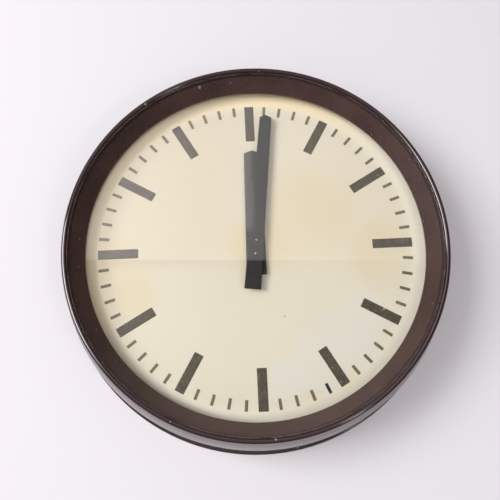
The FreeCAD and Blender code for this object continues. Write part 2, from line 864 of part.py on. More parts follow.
def make_cable_entry():
    grommet = new_body("cable_grommet")
    outer_face = s.recess_depth - s.grommet_flange_thickness
    inner_face = s.back_thickness + s.grommet_flange_thickness
    centre = -cable_drop
    flange = s.grommet_flange_radius
    pad(grommet, [circle(0, centre, s.grommet_neck_radius)], outer_face, inner_face - outer_face)
    pad(grommet, [circle(0, centre, flange)], outer_face, s.grommet_flange_thickness)
    pad(grommet, [circle(0, centre, flange)], s.back_thickness, s.grommet_flange_thickness)
    pocket(grommet, [circle(0, centre, s.cable_bore_radius)], inner_face, inner_face - outer_face)


def make_terminals():
    block = new_body("terminal_block")
    half_width = s.terminal_width / 2
    half_height = s.terminal_height / 2
    front = s.back_thickness + s.terminal_depth
    blank = rectangle(-half_width, -terminal_drop - half_height, half_width, -terminal_drop + half_height)
    pad(block, [blank], s.back_thickness, s.terminal_depth)
    holes = [circle(*place, s.terminal_fixing_radius + s.running_gap) for place in terminal_fixing_places]
    pocket(block, holes, front, s.terminal_depth)
    holes = [circle(*place, s.terminal_screw_radius + s.seat_gap) for place in terminal_places]
    pocket(block, holes, front, s.terminal_screw_length + s.running_gap)
    master = screw(
        "terminal_screw",
        s.terminal_screw_radius,
        s.terminal_screw_length,
        s.terminal_screw_head_radius,
        s.terminal_screw_head_height,
    )
    tip = front - s.terminal_screw_length
    copies("terminal_screws", master, [(*place, tip) for place in terminal_places])
    master = screw(
        "terminal_fixing_screw",
        s.terminal_fixing_radius,
        terminal_fixing_length,
        s.terminal_fixing_head_radius,
        s.terminal_fixing_head_height,
    )
    tip = front - terminal_fixing_length
    copies("terminal_fixing_screws", master, [(*place, tip) for place in terminal_fixing_places])


def make_dial():
    dial = new_body("dial_plate")
    dial_radius = case_inner_radius - s.side_gap
    holes = [circle(*place, s.dial_screw_radius + s.running_gap) for place in dial_screw_places]
    pad(
        dial,
        [circle(0, 0, dial_radius), circle(0, 0, s.dial_hole_radius), *holes],
        dial_back,
        s.dial_thickness,
    )
    master = screw(
        "dial_screw",
        s.dial_screw_radius,
        s.dial_screw_length,
        s.dial_screw_head_radius,
        s.dial_screw_head_height,
    )
    tip = dial_front - s.dial_screw_length
    copies("dial_screws", master, [(*place, tip) for place in dial_screw_places])


def mark_outline(length, width, angle):
    """A bar that ends at the outer track and points at the hand axis."""
    corners = []
    for reach, side in ((0, -1), (0, 1), (1, 1), (1, -1)):
        radius = mark_track_radius - length * reach
        sideways = width * side / 2
        x = radius * sine(angle) + sideways * cosine(angle)
        y = radius * cosine(angle) - sideways * sine(angle)
        corners.append((x, y))
    return corners


def make_marks():
    hours = new_body("hour_marks")
    hour_mark = mark_outline(s.hour_mark_length, s.hour_mark_width, 0 * s.hour_angle)
    repeat(hours, pad(hours, [hour_mark], dial_front, s.mark_thickness), s.hour_mark_count)
    minutes = new_body("minute_marks")
    step = FULL_TURN / (s.hour_mark_count * s.minutes_per_hour_mark)
    bars = [
        mark_outline(s.minute_mark_length, s.minute_mark_width, step * index)
        for index in range(1, SIZES["minutes_per_hour_mark"])
    ]
    repeat(minutes, pad(minutes, bars, dial_front, s.mark_thickness), s.hour_mark_count)


def rivet_holes(turned):
    """The two rivet holes at a hand's hub, along the hand."""
    places = [turned(0 * s.hand_rivet_offset, side * s.hand_rivet_offset) for side in (-1, 1)]
    return [circle(*place, s.hand_rivet_radius + s.seat_gap) for place in places]


def make_hand(label, back, tip, tip_width, tail, tail_width, point, angle, hole):
    """A straight tapered hand with a shallow point, a square tail and sloped long edges."""
    body = new_body(label)
    shoulder = tip - point

    def turned(x, y):
        return x * cosine(angle) + y * sine(angle), y * cosine(angle) - x * sine(angle)

    outline = [
        turned(-tail_width / 2, -tail),
        turned(tail_width / 2, -tail),
        turned(tip_width / 2, shoulder),
        turned(0 * tip, tip),
        turned(-tip_width / 2, shoulder),
    ]
    blank = pad(body, [outline], back, s.hand_thickness)
    front = back + s.hand_thickness
    top = max(body.Shape.Faces, key=lambda face: -face.CenterOfMass.y)
    name = next(f"Face{index}" for index, face in enumerate(body.Shape.Faces, start=1) if face.isSame(top))
    edges = body.newObject("PartDesign::Chamfer", f"{label}_edges")
    edges.Base = (blank, [name])
    edges.ChamferType = "Two distances"
    bind(edges, "Size", s.hand_edge_drop)
    bind(edges, "Size2", s.hand_edge_width)
    body.Tip = edges
    doc.recompute()
    holes = rivet_holes(turned)
    if hole:
        holes.append(circle(0, 0, hole))
    pocket(body, holes, front, s.hand_thickness)
    return turned


def make_rivets(label, turned, back, thickness):
    """Two small rivets that hold a hand to its boss, heads in front."""
    master = new_body(f"{label}_master", master=True)
    shank = s.hand_rivet_radius
    head = s.hand_rivet_head_radius
    top = thickness + s.hand_rivet_head_height
    revolve(master, [(0, 0), (shank, 0), (shank, thickness), (head, thickness), (head / 2, top), (0, top)])
    places = [(*turned(0 * shank, side * s.hand_rivet_offset), back) for side in (-1, 1)]
    copies(label, master, places)


def make_hands():
    pipe_hole = s.cannon_pipe_radius + s.side_gap
    hour_turned = make_hand(
        "hour_hand",
        hour_hand_back,
        hour_tip_length,
        s.hour_tip_width,
        s.hour_tail_length,
        s.hour_tail_width,
        s.hour_point,
        s.hour_angle,
        pipe_hole,
    )
    minute_turned = make_hand(
        "minute_hand",
        minute_hand_back,
        minute_tip_length,
        s.minute_tip_width,
        s.minute_tail_length,
        s.minute_tail_width,
        s.minute_point,
        s.minute_angle,
        None,
    )
    collet = new_body("hour_hand_collet")
    plate_back = hour_hand_back - s.boss_plate_thickness
    pipe_outer = s.cannon_pipe_radius + s.running_gap + s.hour_pipe_wall
    collet_plate_radius = s.hand_rivet_offset + s.hour_collet_edge
    pad(collet, [circle(0, 0, collet_plate_radius)], plate_back, s.boss_plate_thickness)
    pad(
        collet,
        [circle(0, 0, s.hour_collet_radius)],
        hour_hand_back - s.hour_collet_length,
        s.hour_collet_length,
    )
    holes = [circle(0, 0, pipe_outer + s.seat_gap), *rivet_holes(hour_turned)]
    pocket(collet, holes, hour_hand_back, s.hour_collet_length)
    boss = new_body("minute_hand_boss")
    boss_length = s.hand_gap - s.turning_gap
    plate_back = minute_hand_back - s.boss_plate_thickness
    half_width = s.minute_boss_width / 2
    half_length = s.hand_rivet_offset + s.minute_boss_end
    corners = rectangle(-half_width, -half_length, half_width, half_length)
    strip = [minute_turned(*corner) for corner in corners]
    pad(boss, [strip], plate_back, s.boss_plate_thickness)
    pad(
        boss,
        [circle(0, 0, s.minute_boss_radius)],
        minute_hand_back - boss_length,
        boss_length,
    )
    pocket(boss, rivet_holes(minute_turned), minute_hand_back, s.boss_plate_thickness)
    pocket(
        boss,
        [circle(0, 0, s.cannon_pipe_radius + s.seat_gap)],
        minute_hand_back - s.arbor_end_gap + s.seat_gap,
        boss_length,
    )
    hold = s.hand_thickness + s.boss_plate_thickness
    make_rivets("hour_hand_rivets", hour_turned, hour_hand_back - s.boss_plate_thickness, hold)
    make_rivets("minute_hand_rivets", minute_turned, minute_hand_back - s.boss_plate_thickness, hold)


def make_movement_frame():
    arbors = (
        ((0, 0), s.arbor_radius),
        (intermediate_place, s.pinion_arbor_radius),
        (rotor_place, s.rotor_shaft_radius),
    )
    bush_room = s.running_gap + s.bush_wall + s.seat_gap
    bush_holes = [circle(*place, radius + bush_room) for place, radius in arbors]
    pillar_holes = [circle(*place, s.pillar_screw_radius + s.running_gap) for place in pillar_places]
    pole_holes = [circle(*place, s.pole_screw_radius + s.seat_gap) for place in pole_screw_places]
    back = new_body("movement_back_plate")
    blank = rounded_rectangle(
        -back_plate_half_width, -plate_bottom, back_plate_half_width, s.plate_top, s.plate_corner
    )
    fixings = [circle(*place, s.movement_screw_radius + s.running_gap) for place in movement_screw_places]
    pad(
        back,
        [blank, *bush_holes, *pillar_holes, *pole_holes, *fixings],
        back_plate_rear,
        s.plate_thickness,
    )
    front = new_body("movement_front_plate")
    blank = rounded_rectangle(
        -front_plate_half_width, -plate_bottom, front_plate_half_width, s.plate_top, s.plate_corner
    )
    stud_hole = circle(*stud_place, s.stud_radius + s.seat_gap)
    pad(front, [blank, *bush_holes, *pillar_holes, stud_hole], front_plate_rear, s.plate_thickness)

    pillar = new_body("pillar", master=True)
    pad(pillar, [circle(0, 0, s.pillar_radius)], 0, plate_gap)
    tapped = s.pillar_screw_radius + s.seat_gap
    tapped_depth = s.pillar_screw_length - s.plate_thickness + s.running_gap
    pocket(pillar, [circle(0, 0, tapped)], plate_gap, tapped_depth)
    pocket(pillar, [circle(0, 0, tapped)], tapped_depth, tapped_depth)
    copies("plate_pillars", pillar, [(*place, back_plate_front) for place in pillar_places])

    master = screw(
        "pillar_screw",
        s.pillar_screw_radius,
        s.pillar_screw_length,
        s.pillar_screw_head_radius,
        s.pillar_screw_head_height,
    )
    tip = front_plate_front - s.pillar_screw_length
    copies("pillar_screws", master, [(*place, tip) for place in pillar_places])
    tips = [(*place, back_plate_rear + s.pillar_screw_length) for place in pillar_places]
    copies("pillar_rear_screws", master, tips, facing_wall(tips))

    master = screw(
        "movement_screw",
        s.movement_screw_radius,
        s.movement_screw_length,
        s.movement_screw_head_radius,
        s.movement_screw_head_height,
    )
    tip = back_plate_front - s.movement_screw_length
    copies("movement_screws", master, [(*place, tip) for place in movement_screw_places])

    bushes = new_body("arbor_bushes")
    for rear in (back_plate_rear, front_plate_rear):
        rings = []
        for place, radius in arbors:
            bore = radius + s.running_gap
            rings.append(circle(*place, bore + s.bush_wall))
            rings.append(circle(*place, bore))
        pad(bushes, rings, rear, s.plate_thickness + s.bush_lip)

    stud = new_body("motion_stud")
    stud_length = dial_back - s.stud_end_gap - front_plate_rear
    pad(stud, [circle(*stud_place, s.stud_radius)], front_plate_rear, stud_length)
    pad(stud, [circle(*stud_place, s.stud_foot_radius)], front_plate_front, s.stud_foot_height)


# The stator stands on the back plate round the rotor, and its coil hangs between its legs
leg_inner = s.pole_half_width - s.leg_width


def make_stator():
    poles = new_body("stator_poles")
    top = -rotor_reach + s.pole_half_height
    waist = -rotor_reach - s.pole_half_height
    foot = -coil_drop - s.leg_foot
    inner = s.pole_tip_gap / 2
    outer = s.pole_half_width
    right = [(inner, top), (inner, waist), (leg_inner, waist), (leg_inner, foot), (outer, foot), (outer, top)]
    left = [(-x, y) for x, y in right]
    pad(poles, [right, left], pole_rear, s.pole_thickness)
    holes = [circle(*place, s.pole_screw_radius + s.running_gap) for place in pole_screw_places]
    rotor_room = circle(*rotor_place, s.rotor_radius + s.air_gap)
    pocket(poles, [rotor_room, *holes], pole_front, s.pole_thickness)
    side_hole = poles.newObject("PartDesign::Pocket", "stator_poles_side_hole")
    hole = circle(-coil_drop, coil_depth, s.core_screw_radius + s.running_gap)
    side_hole.Profile = new_sketch(poles, "YZ_Plane", [hole], s.pole_half_width)
    bind(side_hole, "Length", s.pole_half_width * 2)
    before = poles.Shape.Volume
    doc.recompute()
    if poles.Shape.Volume >= before:
        raise RuntimeError("stator_poles: the core screw holes cut nothing")

    spacer = new_body("stator_spacer", master=True)
    pad(
        spacer,
        [circle(0, 0, s.spacer_radius), circle(0, 0, s.pole_screw_radius + s.running_gap)],
        0,
        s.pole_lift,
    )
    copies("stator_spacers", spacer, [(*place, back_plate_front) for place in pole_screw_places])
    master = screw(
        "stator_screw",
        s.pole_screw_radius,
        s.pole_screw_length,
        s.pole_screw_head_radius,
        s.pole_screw_head_height,
    )
    tip = pole_front - s.pole_screw_length
    copies("stator_screws", master, [(*place, tip) for place in pole_screw_places])


def coil_length(body, kind, radius, start, length):
    """One round feature along the coil axis, from a place on that axis."""
    feature = body.newObject(kind, f"{body.Label}_turned")
    feature.Profile = new_sketch(body, "YZ_Plane", [circle(-coil_drop, coil_depth, radius)], start)
    bind(feature, "Length", length)
    doc.recompute()


def add_on_coil(body, radius, first, last):
    coil_length(body, "PartDesign::Pad", radius, first, last - first)


def bore_on_coil(body, radius, first, last):
    before = body.Shape.Volume
    coil_length(body, "PartDesign::Pocket", radius, last, last - first)
    if body.Shape.Volume >= before:
        raise RuntimeError(f"{body.Label}: a bore cut nothing")


def make_coil():
    half = leg_inner
    tapped = s.core_screw_radius + s.seat_gap
    tapped_depth = s.core_screw_length - s.leg_width + s.running_gap
    core = new_body("coil_core")
    add_on_coil(core, s.core_radius, -half, half)
    bore_on_coil(core, tapped, half - tapped_depth, half)
    bore_on_coil(core, tapped, -half, tapped_depth - half)

    bobbin = new_body("coil_bobbin")
    bobbin_end = half - s.seat_gap
    flange_inner = bobbin_end - s.bobbin_flange_thickness
    bore = s.core_radius + s.seat_gap
    barrel = bore + s.bobbin_wall
    add_on_coil(bobbin, barrel, -bobbin_end, bobbin_end)
    add_on_coil(bobbin, s.bobbin_flange_radius, -bobbin_end, -flange_inner)
    add_on_coil(bobbin, s.bobbin_flange_radius, flange_inner, bobbin_end)
    bore_on_coil(bobbin, bore, -bobbin_end, bobbin_end)

    winding = new_body("coil_winding")
    winding_end = flange_inner - s.seat_gap
    add_on_coil(winding, s.winding_radius, -winding_end, winding_end)
    bore_on_coil(winding, barrel + s.seat_gap, -winding_end, winding_end)

    master = screw(
        "core_screw",
        s.core_screw_radius,
        s.core_screw_length,
        s.core_screw_head_radius,
        s.core_screw_head_height,
    )
    places = []
    turns = []
    for side in (-1, 1):
        places.append(((s.pole_half_width - s.core_screw_length) * side, -coil_drop, coil_depth))
        turns.append(Rotation(Vector(0, 1, 0), QUARTER * side))
    copies("core_screws", master, places, turns)


def shape_node(label, shape):
    """A node whose shape is worked out from the sheet's values, stood up against the wall."""
    item = doc.addObject("Part::Feature", label)
    item.Label = label
    item.Shape = shape
    item.Placement = STAND
    nodes[label] = item


def rod(place, radius, first, last):
    """A plain round length parallel to the hand axis."""
    base = Vector(number(place[0]), number(place[1]), number(first))
    return Part.makeCylinder(number(radius), number(last - first), base)


def involute(angle):
    return math.tan(angle) - angle


def gear(place, teeth, module, first, last, phase):
    """Involute teeth on a blank, one tooth centred on the angle phase given in degrees."""
    count = round(number(teeth))
    pitch = number(module) * count / 2
    tip = pitch + number(module * s.tooth_addendum_share)
    root = pitch - number(module * s.tooth_dedendum_share)
    pressure = math.radians(number(s.pressure_angle))
    base = pitch * math.cos(pressure)
    pitch_half = math.pi / (2 * count) - number(s.backlash) / (2 * pitch)
    foot = max(base, root)

    def half_angle(radius):
        return pitch_half + involute(pressure) - involute(math.acos(min(1, base / radius)))

    def spot(radius, angle):
        return Vector(radius * math.cos(angle), radius * math.sin(angle), 0)

    middle = (foot + tip) / 2
    step = 2 * math.pi / count
    edges = []
    for index in range(count):
        centre = math.radians(number(phase)) + step * index
        rising = [spot(radius, centre - half_angle(radius)) for radius in (foot, middle, tip)]
        falling = [spot(radius, centre + half_angle(radius)) for radius in (tip, middle, foot)]
        root_start = spot(root, centre - half_angle(foot))
        root_end = spot(root, centre + half_angle(foot))
        next_root = spot(root, centre + step - half_angle(foot))
        if foot > root:
            edges.append(Part.LineSegment(root_start, rising[0]).toShape())
        edges.append(Part.Arc(*rising).toShape())
        edges.append(Part.LineSegment(rising[2], falling[0]).toShape())
        edges.append(Part.Arc(*falling).toShape())
        if foot > root:
            edges.append(Part.LineSegment(falling[2], root_end).toShape())
        edges.append(Part.LineSegment(root_end, next_root).toShape())
    face = Part.Face(Part.Wire(edges))
    solid = face.extrude(Vector(0, 0, number(last - first)))
    solid.translate(Vector(number(place[0]), number(place[1]), number(first)))
    return solid


def make_gear_train():
    axis = (0, 0)
    opposite = s.motion_angle + HALF_TURN
    arbor_bore = s.arbor_radius + s.seat_gap
    arbor_tip = minute_hand_back - s.arbor_end_gap
    shape_node("centre_arbor", rod(axis, s.arbor_radius, back_plate_rear - s.arbor_tail, arbor_tip))

    hub_rear = centre_wheel_rear - s.centre_hub_height
    wheel_front = centre_wheel_front
    wheel = gear(axis, s.centre_teeth, s.coarse_module, centre_wheel_rear, wheel_front, s.drive_angle)
    wheel = wheel.fuse(rod(axis, s.centre_hub_radius, hub_rear, wheel_front))
    wheel = wheel.cut(rod(axis, arbor_bore, hub_rear, wheel_front))
    for index in range(SIZES["spoke_hole_count"]):
        place = polar(s.spoke_hole_circle, FULL_TURN / s.spoke_hole_count * index)
        wheel = wheel.cut(rod(place, s.spoke_hole_radius, hub_rear, wheel_front))
    shape_node("centre_wheel", wheel)

    cannon_rear = front_plate_front + s.cannon_lift
    cannon_front = cannon_rear + s.cannon_gear_height
    cannon = gear(axis, s.pinion_teeth, s.coarse_module, cannon_rear, cannon_front, s.motion_angle)
    cannon = cannon.fuse(rod(axis, s.cannon_pipe_radius, cannon_rear, arbor_tip))
    shape_node("cannon_pinion", cannon.cut(rod(axis, arbor_bore, cannon_rear, arbor_tip)))

    hour_rear = cannon_front + s.hour_wheel_lift
    hour_front = hour_rear + s.wheel_thickness
    pipe_bore = s.cannon_pipe_radius + s.running_gap
    hour_phase = s.motion_angle + HALF_TURN / s.hour_teeth
    hour = gear(axis, s.hour_teeth, fine_module, hour_rear, hour_front, hour_phase)
    hour = hour.fuse(rod(axis, pipe_bore + s.hour_pipe_wall, hour_rear, hour_hand_back))
    shape_node("hour_wheel", hour.cut(rod(axis, pipe_bore, hour_rear, hour_hand_back)))

    stud_bore = s.stud_radius + s.running_gap
    minute_rear = front_plate_front + s.stud_foot_height + s.running_gap
    minute_front = minute_rear + s.wheel_thickness
    pinion_front = minute_front + s.motion_pinion_height
    minute_phase = opposite + HALF_TURN / s.minute_wheel_teeth
    minute = gear(stud_place, s.minute_wheel_teeth, s.coarse_module, minute_rear, minute_front, minute_phase)
    shape_node("minute_wheel", minute.cut(rod(stud_place, stud_bore, minute_rear, minute_front)))
    pinion = gear(stud_place, s.pinion_teeth, fine_module, minute_front, pinion_front, opposite)
    shape_node("minute_wheel_pinion", pinion.cut(rod(stud_place, stud_bore, minute_front, pinion_front)))

    place = intermediate_place
    shaft_rear = back_plate_rear - s.shaft_tail
    shaft_front = front_plate_front + s.bush_lip
    shape_node("intermediate_arbor", rod(place, s.pinion_arbor_radius, shaft_rear, shaft_front))
    bore = s.pinion_arbor_radius + s.seat_gap
    wheel_rear = intermediate_wheel_rear
    wheel_front = intermediate_wheel_front
    wheel = gear(place, s.intermediate_teeth, fine_module, wheel_rear, wheel_front, s.drive_angle)
    shape_node("intermediate_wheel", wheel.cut(rod(place, bore, wheel_rear, wheel_front)))
    pinion_front = centre_wheel_front + s.pinion_overlap
    back_phase = s.drive_angle + HALF_TURN + HALF_TURN / s.pinion_teeth
    pinion = gear(place, s.pinion_teeth, s.coarse_module, wheel_front, pinion_front, back_phase)
    shape_node("intermediate_pinion", pinion.cut(rod(place, bore, wheel_front, pinion_front)))

    place = rotor_place
    shape_node("rotor_shaft", rod(place, s.rotor_shaft_radius, shaft_rear, shaft_front))
    bore = s.rotor_shaft_radius + s.seat_gap
    magnet = rod(place, s.rotor_radius, magnet_rear, magnet_front)
    shape_node("rotor_magnet", magnet.cut(rod(place, bore, magnet_rear, magnet_front)))
    pinion_rear = wheel_rear + (s.wheel_thickness - s.rotor_pinion_height) / 2
    pinion_front = pinion_rear + s.rotor_pinion_height
    pinion = gear(place, s.pinion_teeth, fine_module, pinion_rear, pinion_front, back_phase)
    pinion = pinion.fuse(rod(place, s.rotor_hub_radius, magnet_front, pinion_front))
    shape_node("rotor_pinion", pinion.cut(rod(place, bore, magnet_front, pinion_front)))


def round_path(points):
    """Straight runs joined by tangent arcs, each as large as its two runs allow."""
    edges = []
    start = points[0]
    for before, corner, after in zip(points, points[1:], points[2:]):
        back = (before - corner).normalize()
        ahead = (after - corner).normalize()
        trim = BEND_SHARE * min((before - corner).Length, (after - corner).Length)
        enter = corner + back * trim
        leave = corner + ahead * trim
        half_opening = back.getAngle(ahead) / 2
        radius = trim * math.tan(half_opening)
        centre = corner + (back + ahead).normalize() * (radius / math.sin(half_opening))
        crown = centre + (corner - centre).normalize() * radius
        edges.append(Part.LineSegment(start, enter).toShape())
        edges.append(Part.Arc(enter, crown, leave).toShape())
        start = leave
    edges.append(Part.LineSegment(start, points[-1]).toShape())
    return Part.Wire(edges)


def make_leads():
    """Two wires from the terminal block up to the coil's flanges."""
    tubes = []
    block_top = -terminal_drop + s.terminal_height / 2
    block_depth = s.back_thickness + s.terminal_depth / 2
    flange_foot = -coil_drop - s.bobbin_flange_radius
    flange_middle = leg_inner - s.seat_gap - s.bobbin_flange_thickness / 2
    rise = flange_foot - block_top
    for side in (-1, 1):
        near = terminal_offset * side
        far = flange_middle * side
        places = (
            (near, block_top, block_depth),
            (near, block_top + rise * LEAD_RUN_SHARE, block_depth),
            (far, flange_foot - rise * LEAD_RUN_SHARE, coil_depth),
            (far, flange_foot, coil_depth),
        )
        points = [Vector(*[number(value) for value in place]) for place in places]
        path = round_path(points)
        ring = Part.Wire(Part.makeCircle(number(s.lead_radius), points[0], points[1] - points[0]))
        tubes.append(path.makePipeShell([ring], True, False))
    shape_node("lead_wires", Part.makeCompound(tubes))


make_case_body()
make_bezel()
make_glazing()
make_hanger()
make_cable_entry()
make_terminals()
make_dial()
make_marks()
make_hands()
make_movement_frame()
make_stator()
make_coil()
make_gear_train()
make_leads()
doc.recompute()

for item in doc.Objects:
    if "Invalid" in item.State or "Error" in item.State:
        raise RuntimeError(f"{item.Label} failed: {item.State}")
for label, item in nodes.items():
    if item.Shape.isNull() or not item.Shape.isValid():
        raise RuntimeError(f"{label} has no sound shape")

os.makedirs("parts", exist_ok=True)
for label, item in nodes.items():
    item.Shape.exportStep(f"parts/{label}.step")
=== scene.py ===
"""Looks of a wall slave clock around its CAD frame: finishes, moulded shells, light and camera."""

from __future__ import annotations

import logging
import math
from abc import ABC, abstractmethod
from dataclasses import asdict, dataclass
from enum import Enum
from typing import ClassVar

import bmesh
import bpy
import numpy as np
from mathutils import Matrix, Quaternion, Vector

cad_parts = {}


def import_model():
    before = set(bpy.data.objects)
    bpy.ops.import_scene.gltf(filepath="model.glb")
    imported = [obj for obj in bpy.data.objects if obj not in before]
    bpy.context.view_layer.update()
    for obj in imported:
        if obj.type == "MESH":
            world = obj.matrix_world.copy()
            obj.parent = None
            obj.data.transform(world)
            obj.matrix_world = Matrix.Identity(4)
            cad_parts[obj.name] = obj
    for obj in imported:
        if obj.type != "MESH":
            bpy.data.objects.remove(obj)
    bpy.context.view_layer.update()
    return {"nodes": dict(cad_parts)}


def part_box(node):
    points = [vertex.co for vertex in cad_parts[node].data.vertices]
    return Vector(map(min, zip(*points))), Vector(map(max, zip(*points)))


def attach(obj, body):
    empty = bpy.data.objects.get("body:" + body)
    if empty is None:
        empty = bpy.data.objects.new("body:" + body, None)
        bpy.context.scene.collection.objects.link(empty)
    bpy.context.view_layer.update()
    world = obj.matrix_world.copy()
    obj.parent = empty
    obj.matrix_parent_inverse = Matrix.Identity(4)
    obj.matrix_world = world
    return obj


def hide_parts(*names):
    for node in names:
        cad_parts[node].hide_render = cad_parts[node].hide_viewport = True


log = logging.getLogger("slave_clock")

MM = 0.001
FULL_TURN = 2 * math.pi
NOISE_MIDDLE = 0.5
WAVE_STEP = 20.0
PRINCIPLED = "ShaderNodeBsdfPrincipled"

Socket = bpy.types.NodeSocket
Outlets = bpy.types.NodeOutputs
Colour = tuple[float, float, float, float]
Point = tuple[float, float, float]
Ramp = tuple[float, float]
Value = Socket | float | Colour | Point
Layer = tuple[Value, float, Value]

BLACK: Colour = (0.0, 0.0, 0.0, 1.0)


def tone(*channels: int) -> Colour:
    """Turns a screen colour into the linear colour that a shader takes.

    Args:
        channels: Red, green and blue, 0 to 255.

    Returns:
        The opaque linear colour.
    """
    shares = np.array(channels) / 255
    linear = np.where(shares <= 0.04045, shares / 12.92, ((shares + 0.055) / 1.055) ** 2.4)
    return (*linear.tolist(), 1.0)


class Slot(Enum):
    """The record's material slots, and the sheet that the clock hangs on."""

    BAKELITE = "bakelite"
    GLASS = "glass"
    RUBBER = "rubber"
    STEEL = "steel"
    DIAL_PAINT = "dial_paint"
    MARK_PRINT = "mark_print"
    HAND_PAINT = "hand_paint"
    RIVET_METAL = "rivet_metal"
    BRASS = "brass"
    INSULATOR = "insulator"
    LEAD_SLEEVE = "lead_sleeve"
    COPPER = "copper"
    SOFT_IRON = "soft_iron"
    MAGNET = "magnet"
    GROUND = "ground"


@dataclass(frozen=True)
class Spot:
    """A round spot in the plane of the dial, in millimetres from the hand axis."""

    x: float
    z: float
    reach: float


class Graph:
    """A shader node tree with short ways to add and join nodes."""

    def __init__(
        self, tree: bpy.types.NodeTree, start: str = "ShaderNodeTexCoord", outlet: str = "Object"
    ) -> None:
        """Empties the tree and adds the node that knows each point's place.

        Args:
            tree: The tree to draw in.
            start: The type name of the node to start from.
            outlet: Its outlet that gives the place.
        """
        self.tree = tree
        tree.nodes.clear()
        self.inlet = self.add(start).outputs
        self.place = self.inlet[outlet]

    def add(
        self, kind: str, values: dict[str | int, Value] | None = None, **options: object
    ) -> bpy.types.Node:
        """Adds a node.

        Args:
            kind: The node's type name.
            values: What each input gets, a socket to join or a plain value.
            options: Settings of the node itself.

        Returns:
            The new node.
        """
        node = self.tree.nodes.new(kind)
        for name, option in options.items():
            setattr(node, name, option)
        for key, value in (values or {}).items():
            if isinstance(value, Socket):
                self.tree.links.new(value, node.inputs[key])
            else:
                node.inputs[key].default_value = value
        return node

    def math(self, operation: str, first: Value, second: Value = 0.0) -> Socket:
        """Gives the result of one sum on two numbers."""
        return self.add("ShaderNodeMath", {0: first, 1: second}, operation=operation).outputs[0]

    def plus(self, first: Value, second: Value) -> Socket:
        """Gives the sum of two numbers."""
        return self.math("ADD", first, second)

    def minus(self, first: Value, second: Value) -> Socket:
        """Gives the first number less the second."""
        return self.math("SUBTRACT", first, second)

    def times(self, first: Value, second: Value) -> Socket:
        """Gives the product of two numbers."""
        return self.math("MULTIPLY", first, second)

    def over(self, first: Value, second: Value) -> Socket:
        """Gives the first number divided by the second."""
        return self.math("DIVIDE", first, second)

    def most(self, first: Value, second: Value) -> Socket:
        """Gives the larger of two numbers."""
        return self.math("MAXIMUM", first, second)

    def apart(self, first: Value, second: Value) -> Socket:
        """Gives how far two numbers lie apart."""
        return self.math("ABSOLUTE", self.minus(first, second))

    def within(self, first: Value, *ramps: tuple[Value, Ramp]) -> Value:
        """Gives a first mask times the steps of some values along their ramps.

        Args:
            first: The mask to start from.
            ramps: Each value with the two ends of its ramp.

        Returns:
            The product.
        """
        for value, ramp in ramps:
            first = self.times(first, self.step(value, *ramp))
        return first

    def step(self, value: Value, low: Value, high: Value) -> Socket:
        """Gives 0 at low and 1 at high with a smooth rise between."""
        values = {0: value, 1: low, 2: high}
        return self.add("ShaderNodeMapRange", values, interpolation_type="SMOOTHSTEP").outputs[0]

    def split(self) -> Outlets:
        """Gives the X, Y and Z of the place."""
        return self.add("ShaderNodeSeparateXYZ", {0: self.place}).outputs

    def radius(self, x: Value = 0.0, z: Value = 0.0) -> Socket:
        """Measures from an axis along Y.

        Args:
            x: How far across the axis lies, in metres.
            z: How far up it lies.

        Returns:
            The distance, in metres.
        """
        parts = self.split()
        across, up = self.minus(parts["X"], x), self.minus(parts["Z"], z)
        return self.math("SQRT", self.plus(self.times(across, across), self.times(up, up)))

    def blend(self, share: Value, first: Value, second: Value) -> Socket:
        """Gives the first colour with a share of the second laid over it."""
        values = {0: share, 6: first, 7: second}
        return self.add("ShaderNodeMix", values, data_type="RGBA").outputs[2]

    def layers(self, colour: Value, *layers: Layer) -> Value:
        """Lays colours over one another.

        Args:
            colour: The colour at the bottom.
            layers: The mask, strength and colour of each layer, from the bottom up.

        Returns:
            The colour that shows.
        """
        for mask, strength, tint in layers:
            colour = self.blend(self.times(mask, strength), colour, tint)
        return colour

    def noise(self, scale: Value, detail: float, place: Socket | None = None) -> Socket:
        """Gives cloudy noise around one half, at the graph's place or another."""
        values = {"Vector": place or self.place, "Scale": scale, "Detail": detail}
        return self.add("ShaderNodeTexNoise", values).outputs[0]

    def stretch(self, scale: Point, turn: Point = (0.0, 0.0, 0.0)) -> Socket:
        """Gives the place turned and scaled for a pattern."""
        values = {"Vector": self.place, "Rotation": turn, "Scale": scale}
        return self.add("ShaderNodeMapping", values).outputs[0]

    def bump(self, height: Socket, distance: float, strength: float) -> Socket:
        """Gives the normal of a surface roughened by a height in metres times distance."""
        values = {"Height": height, "Distance": distance, "Strength": strength}
        return self.add("ShaderNodeBump", values).outputs[0]

    def spots(self, spots: tuple[Spot, ...]) -> Value:
        """Marks some spots.

        Args:
            spots: Where they are.

        Returns:
            A mask that is 1 at the middle of each.
        """
        mask: Value = 0.0
        for spot in spots:
            stain = Stain(spot.x * MM, spot.z * MM, spot.reach * MM)
            mask = self.most(stain.lay(self), mask)
        return mask


